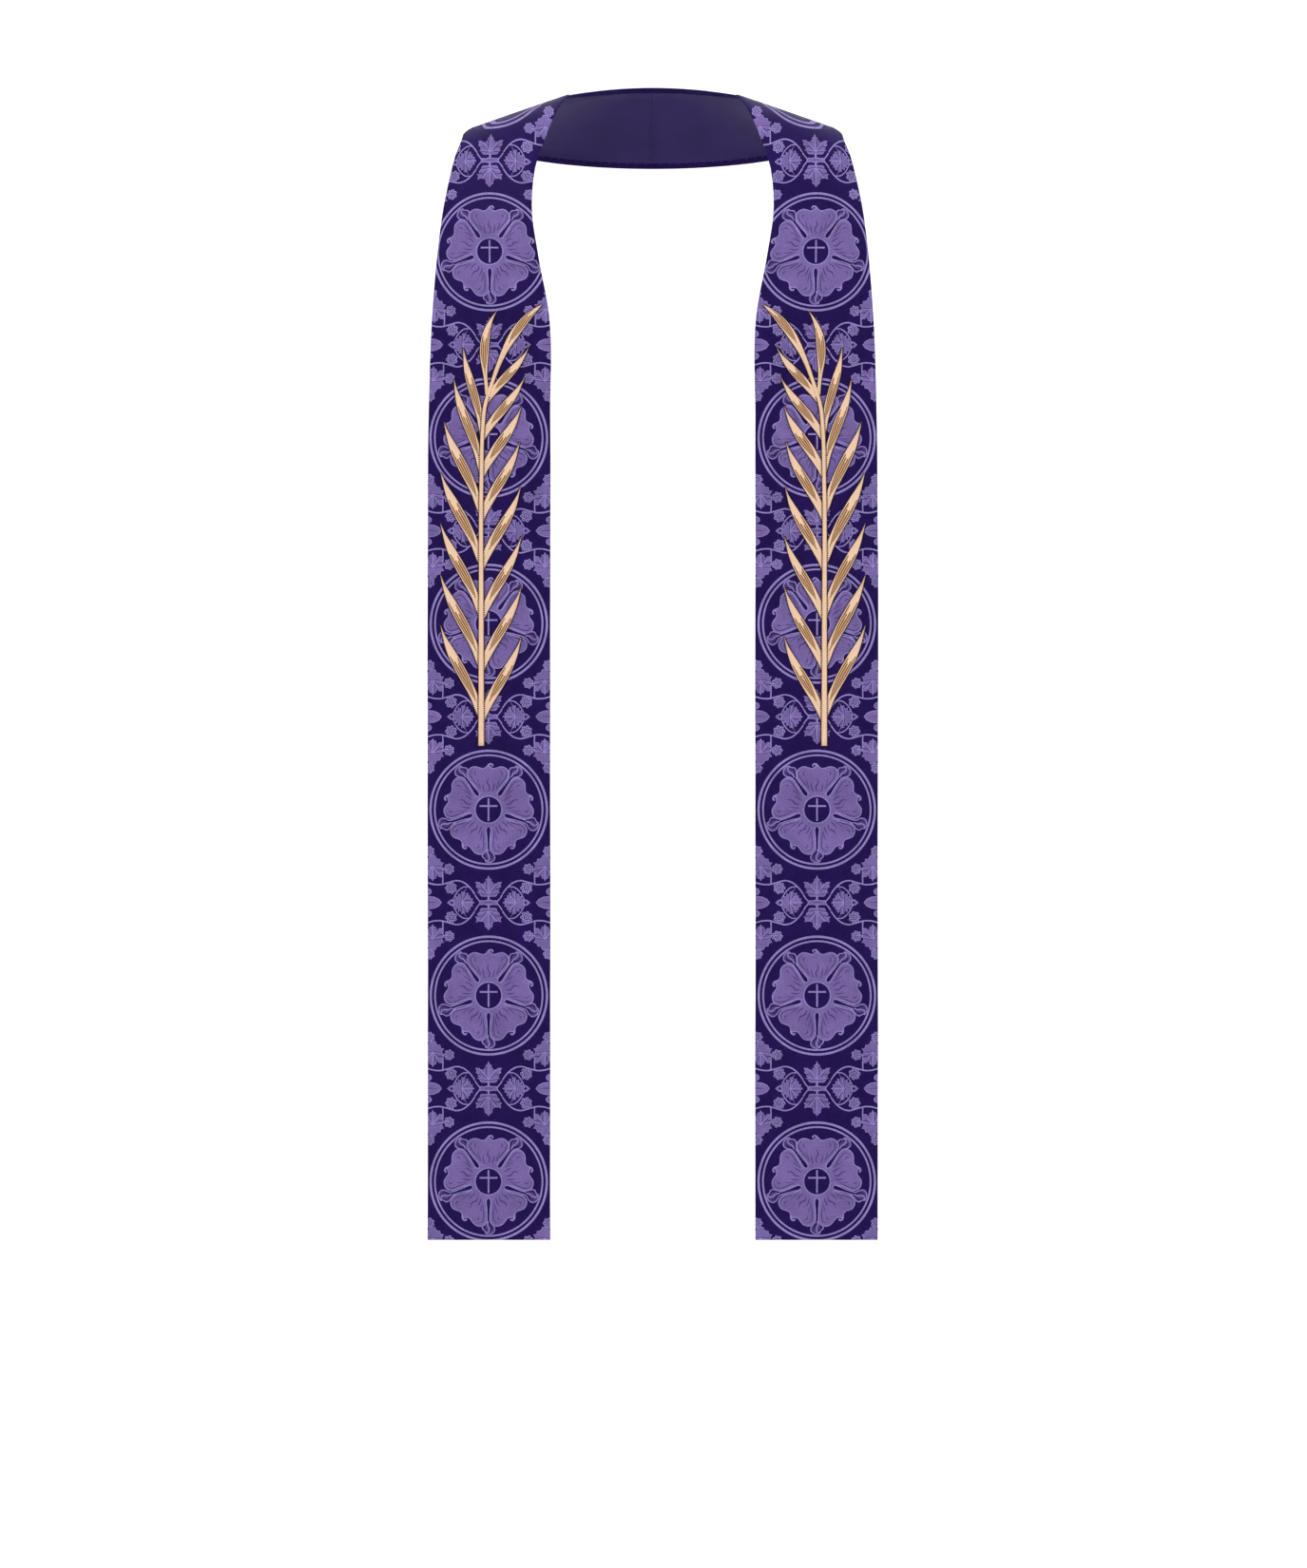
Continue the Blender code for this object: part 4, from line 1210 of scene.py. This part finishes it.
# The felling stitches of the lining
# The lining's edge is sewn down to the turned-in brocade by hand, with small slanting stitches
# in purple silk all the way round.
FELL_PITCH = 7.0
FELL_SIZE = (0.45, 2.6, 0.4)
FELL_SLANT = 0.5

# Silk: a fine two-ply twist with a soft shine, a shade lighter than the lining
fell, tree, surface = new_material("purple_silk_thread")
place = add(tree, "ShaderNodeTexCoord").outputs["Object"]
plies = add(tree, "ShaderNodeTexNoise", Vector=place, Scale=2400.0, Detail=1.0).outputs["Fac"]
# The colour follows the plies' relief, lighter on their tops and darker in the twist's grooves: painted
# highlight and painted shade
shade = add(
    tree, "ShaderNodeMapRange", Value=plies, From_Min=0.3, From_Max=0.7, To_Min=0.8, To_Max=1.2
).outputs["Result"]
tint = add(tree, "ShaderNodeVectorMath", {"operation": "SCALE"}, i0=linear("3D2C70")[:3], Scale=shade)
tree.links.new(tint.outputs["Vector"], surface.inputs["Base Color"])
bump = add(tree, "ShaderNodeBump", Height=plies, Strength=0.3, Distance=0.0001)
tree.links.new(bump.outputs["Normal"], surface.inputs["Normal"])
surface.inputs["Roughness"].default_value = 0.4
surface.inputs["Specular IOR Level"].default_value = 0.3

for side, cloth in cloths.items():
    places = []
    for up in np.arange(LINING_HEM + 4.0, cloth.length - 4.0, FELL_PITCH):
        edge = (LINING_SHARE + LINING_STEP / 2) * float(cloth.half_width(up))
        places += [(edge, up, math.pi / 2 - FELL_SLANT, 0.0), (-edge, up, math.pi / 2 + FELL_SLANT, 0.0)]
    reach = LINING_SHARE * float(cloth.half_width(LINING_HEM))
    for out in np.arange(-reach + 4.0, reach - 2.0, FELL_PITCH):
        places.append((out, LINING_HEM - 0.3, FELL_SLANT, 0.0))
    flat_felling = stitches(places, FELL_SIZE, "flat_felling")
    flat_felling.data.materials.append(fell)
    felling = laid_on(flat_felling, cloth, side, f"felling_stitches_{side}", behind=True)
    bpy.data.objects.remove(flat_felling)
    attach(felling, "root")

# Floor and backdrop
# A pale seamless sweep of matt studio paper: a flat floor where the wearer would stand, which
# rises all round in one long curve.
FLOOR = -1.56
bpy.ops.mesh.primitive_circle_add(vertices=128, radius=6.0, fill_type="NGON", location=(0, 0, 0))
sweep = bpy.context.object
sweep.name = "studio_sweep"
bpy.ops.object.mode_set(mode="EDIT")
bpy.ops.mesh.select_all(action="SELECT")
bpy.ops.transform.translate(value=(0, 0, FLOOR))
for rise, widen in ((0.03, 1.04), (0.12, 1.04), (0.3, 1.04), (0.6, 1.03), (1.2, 1.02), (5.0, 1.01)):
    bpy.ops.mesh.extrude_region_move(TRANSFORM_OT_translate={"value": (0, 0, rise)})
    bpy.ops.transform.resize(value=(widen, widen, 1.0))
bpy.ops.mesh.delete(type="ONLY_FACE")
bpy.ops.mesh.select_all(action="SELECT")
bpy.ops.mesh.flip_normals()
bpy.ops.mesh.faces_shade_smooth()
bpy.ops.object.mode_set(mode="OBJECT")
paper, tree, surface = new_material("white_paper_sweep")
place = add(tree, "ShaderNodeTexCoord").outputs["Object"]
fibre = add(tree, "ShaderNodeTexNoise", Vector=place, Scale=60.0, Detail=3.0).outputs["Fac"]
shade = add(
    tree, "ShaderNodeMapRange", Value=fibre, From_Min=0.3, From_Max=0.7, To_Min=0.92, To_Max=0.94
).outputs["Result"]
tint = add(tree, "ShaderNodeVectorMath", {"operation": "SCALE"}, i0=(1.0, 1.0, 1.0), Scale=shade)
tree.links.new(tint.outputs["Vector"], surface.inputs["Base Color"])
surface.inputs["Roughness"].default_value = 1.0
surface.inputs["Specular IOR Level"].default_value = 0.0
sweep.data.materials.append(paper)

# Light and camera
# An even white room with one broad soft light from the upper left, in front. The camera stands
# square to the fronts.
world = bpy.data.worlds.new("white_room")
world.use_nodes = True
world.node_tree.nodes["Background"].inputs["Color"].default_value = (1.0, 1.0, 1.0, 1.0)
world.node_tree.nodes["Background"].inputs["Strength"].default_value = 0.95
bpy.context.scene.world = world
bpy.ops.object.light_add(type="SUN", location=(-1.5, -2.5, 2.5))
key = bpy.context.object
key.name = "broad_key"
key.data.energy = 2.0
key.data.angle = math.radians(35.0)
key.rotation_euler = Vector((1.5, 2.5, -2.2)).to_track_quat("-Z", "Y").to_euler()
bpy.context.scene.view_settings.view_transform = "Standard"

# The photograph is a flat front view, so the camera has no perspective
PHOTO_MIDDLE = (0.00074, -0.7216)
PHOTO_HIGH = 1.6244
bpy.ops.object.camera_add(location=(PHOTO_MIDDLE[0], -2.5, PHOTO_MIDDLE[1]), rotation=(math.pi / 2, 0, 0))
camera = bpy.context.object
camera.data.type = "ORTHO"
camera.data.sensor_fit = "VERTICAL"
camera.data.ortho_scale = PHOTO_HIGH
bpy.context.scene.camera = camera
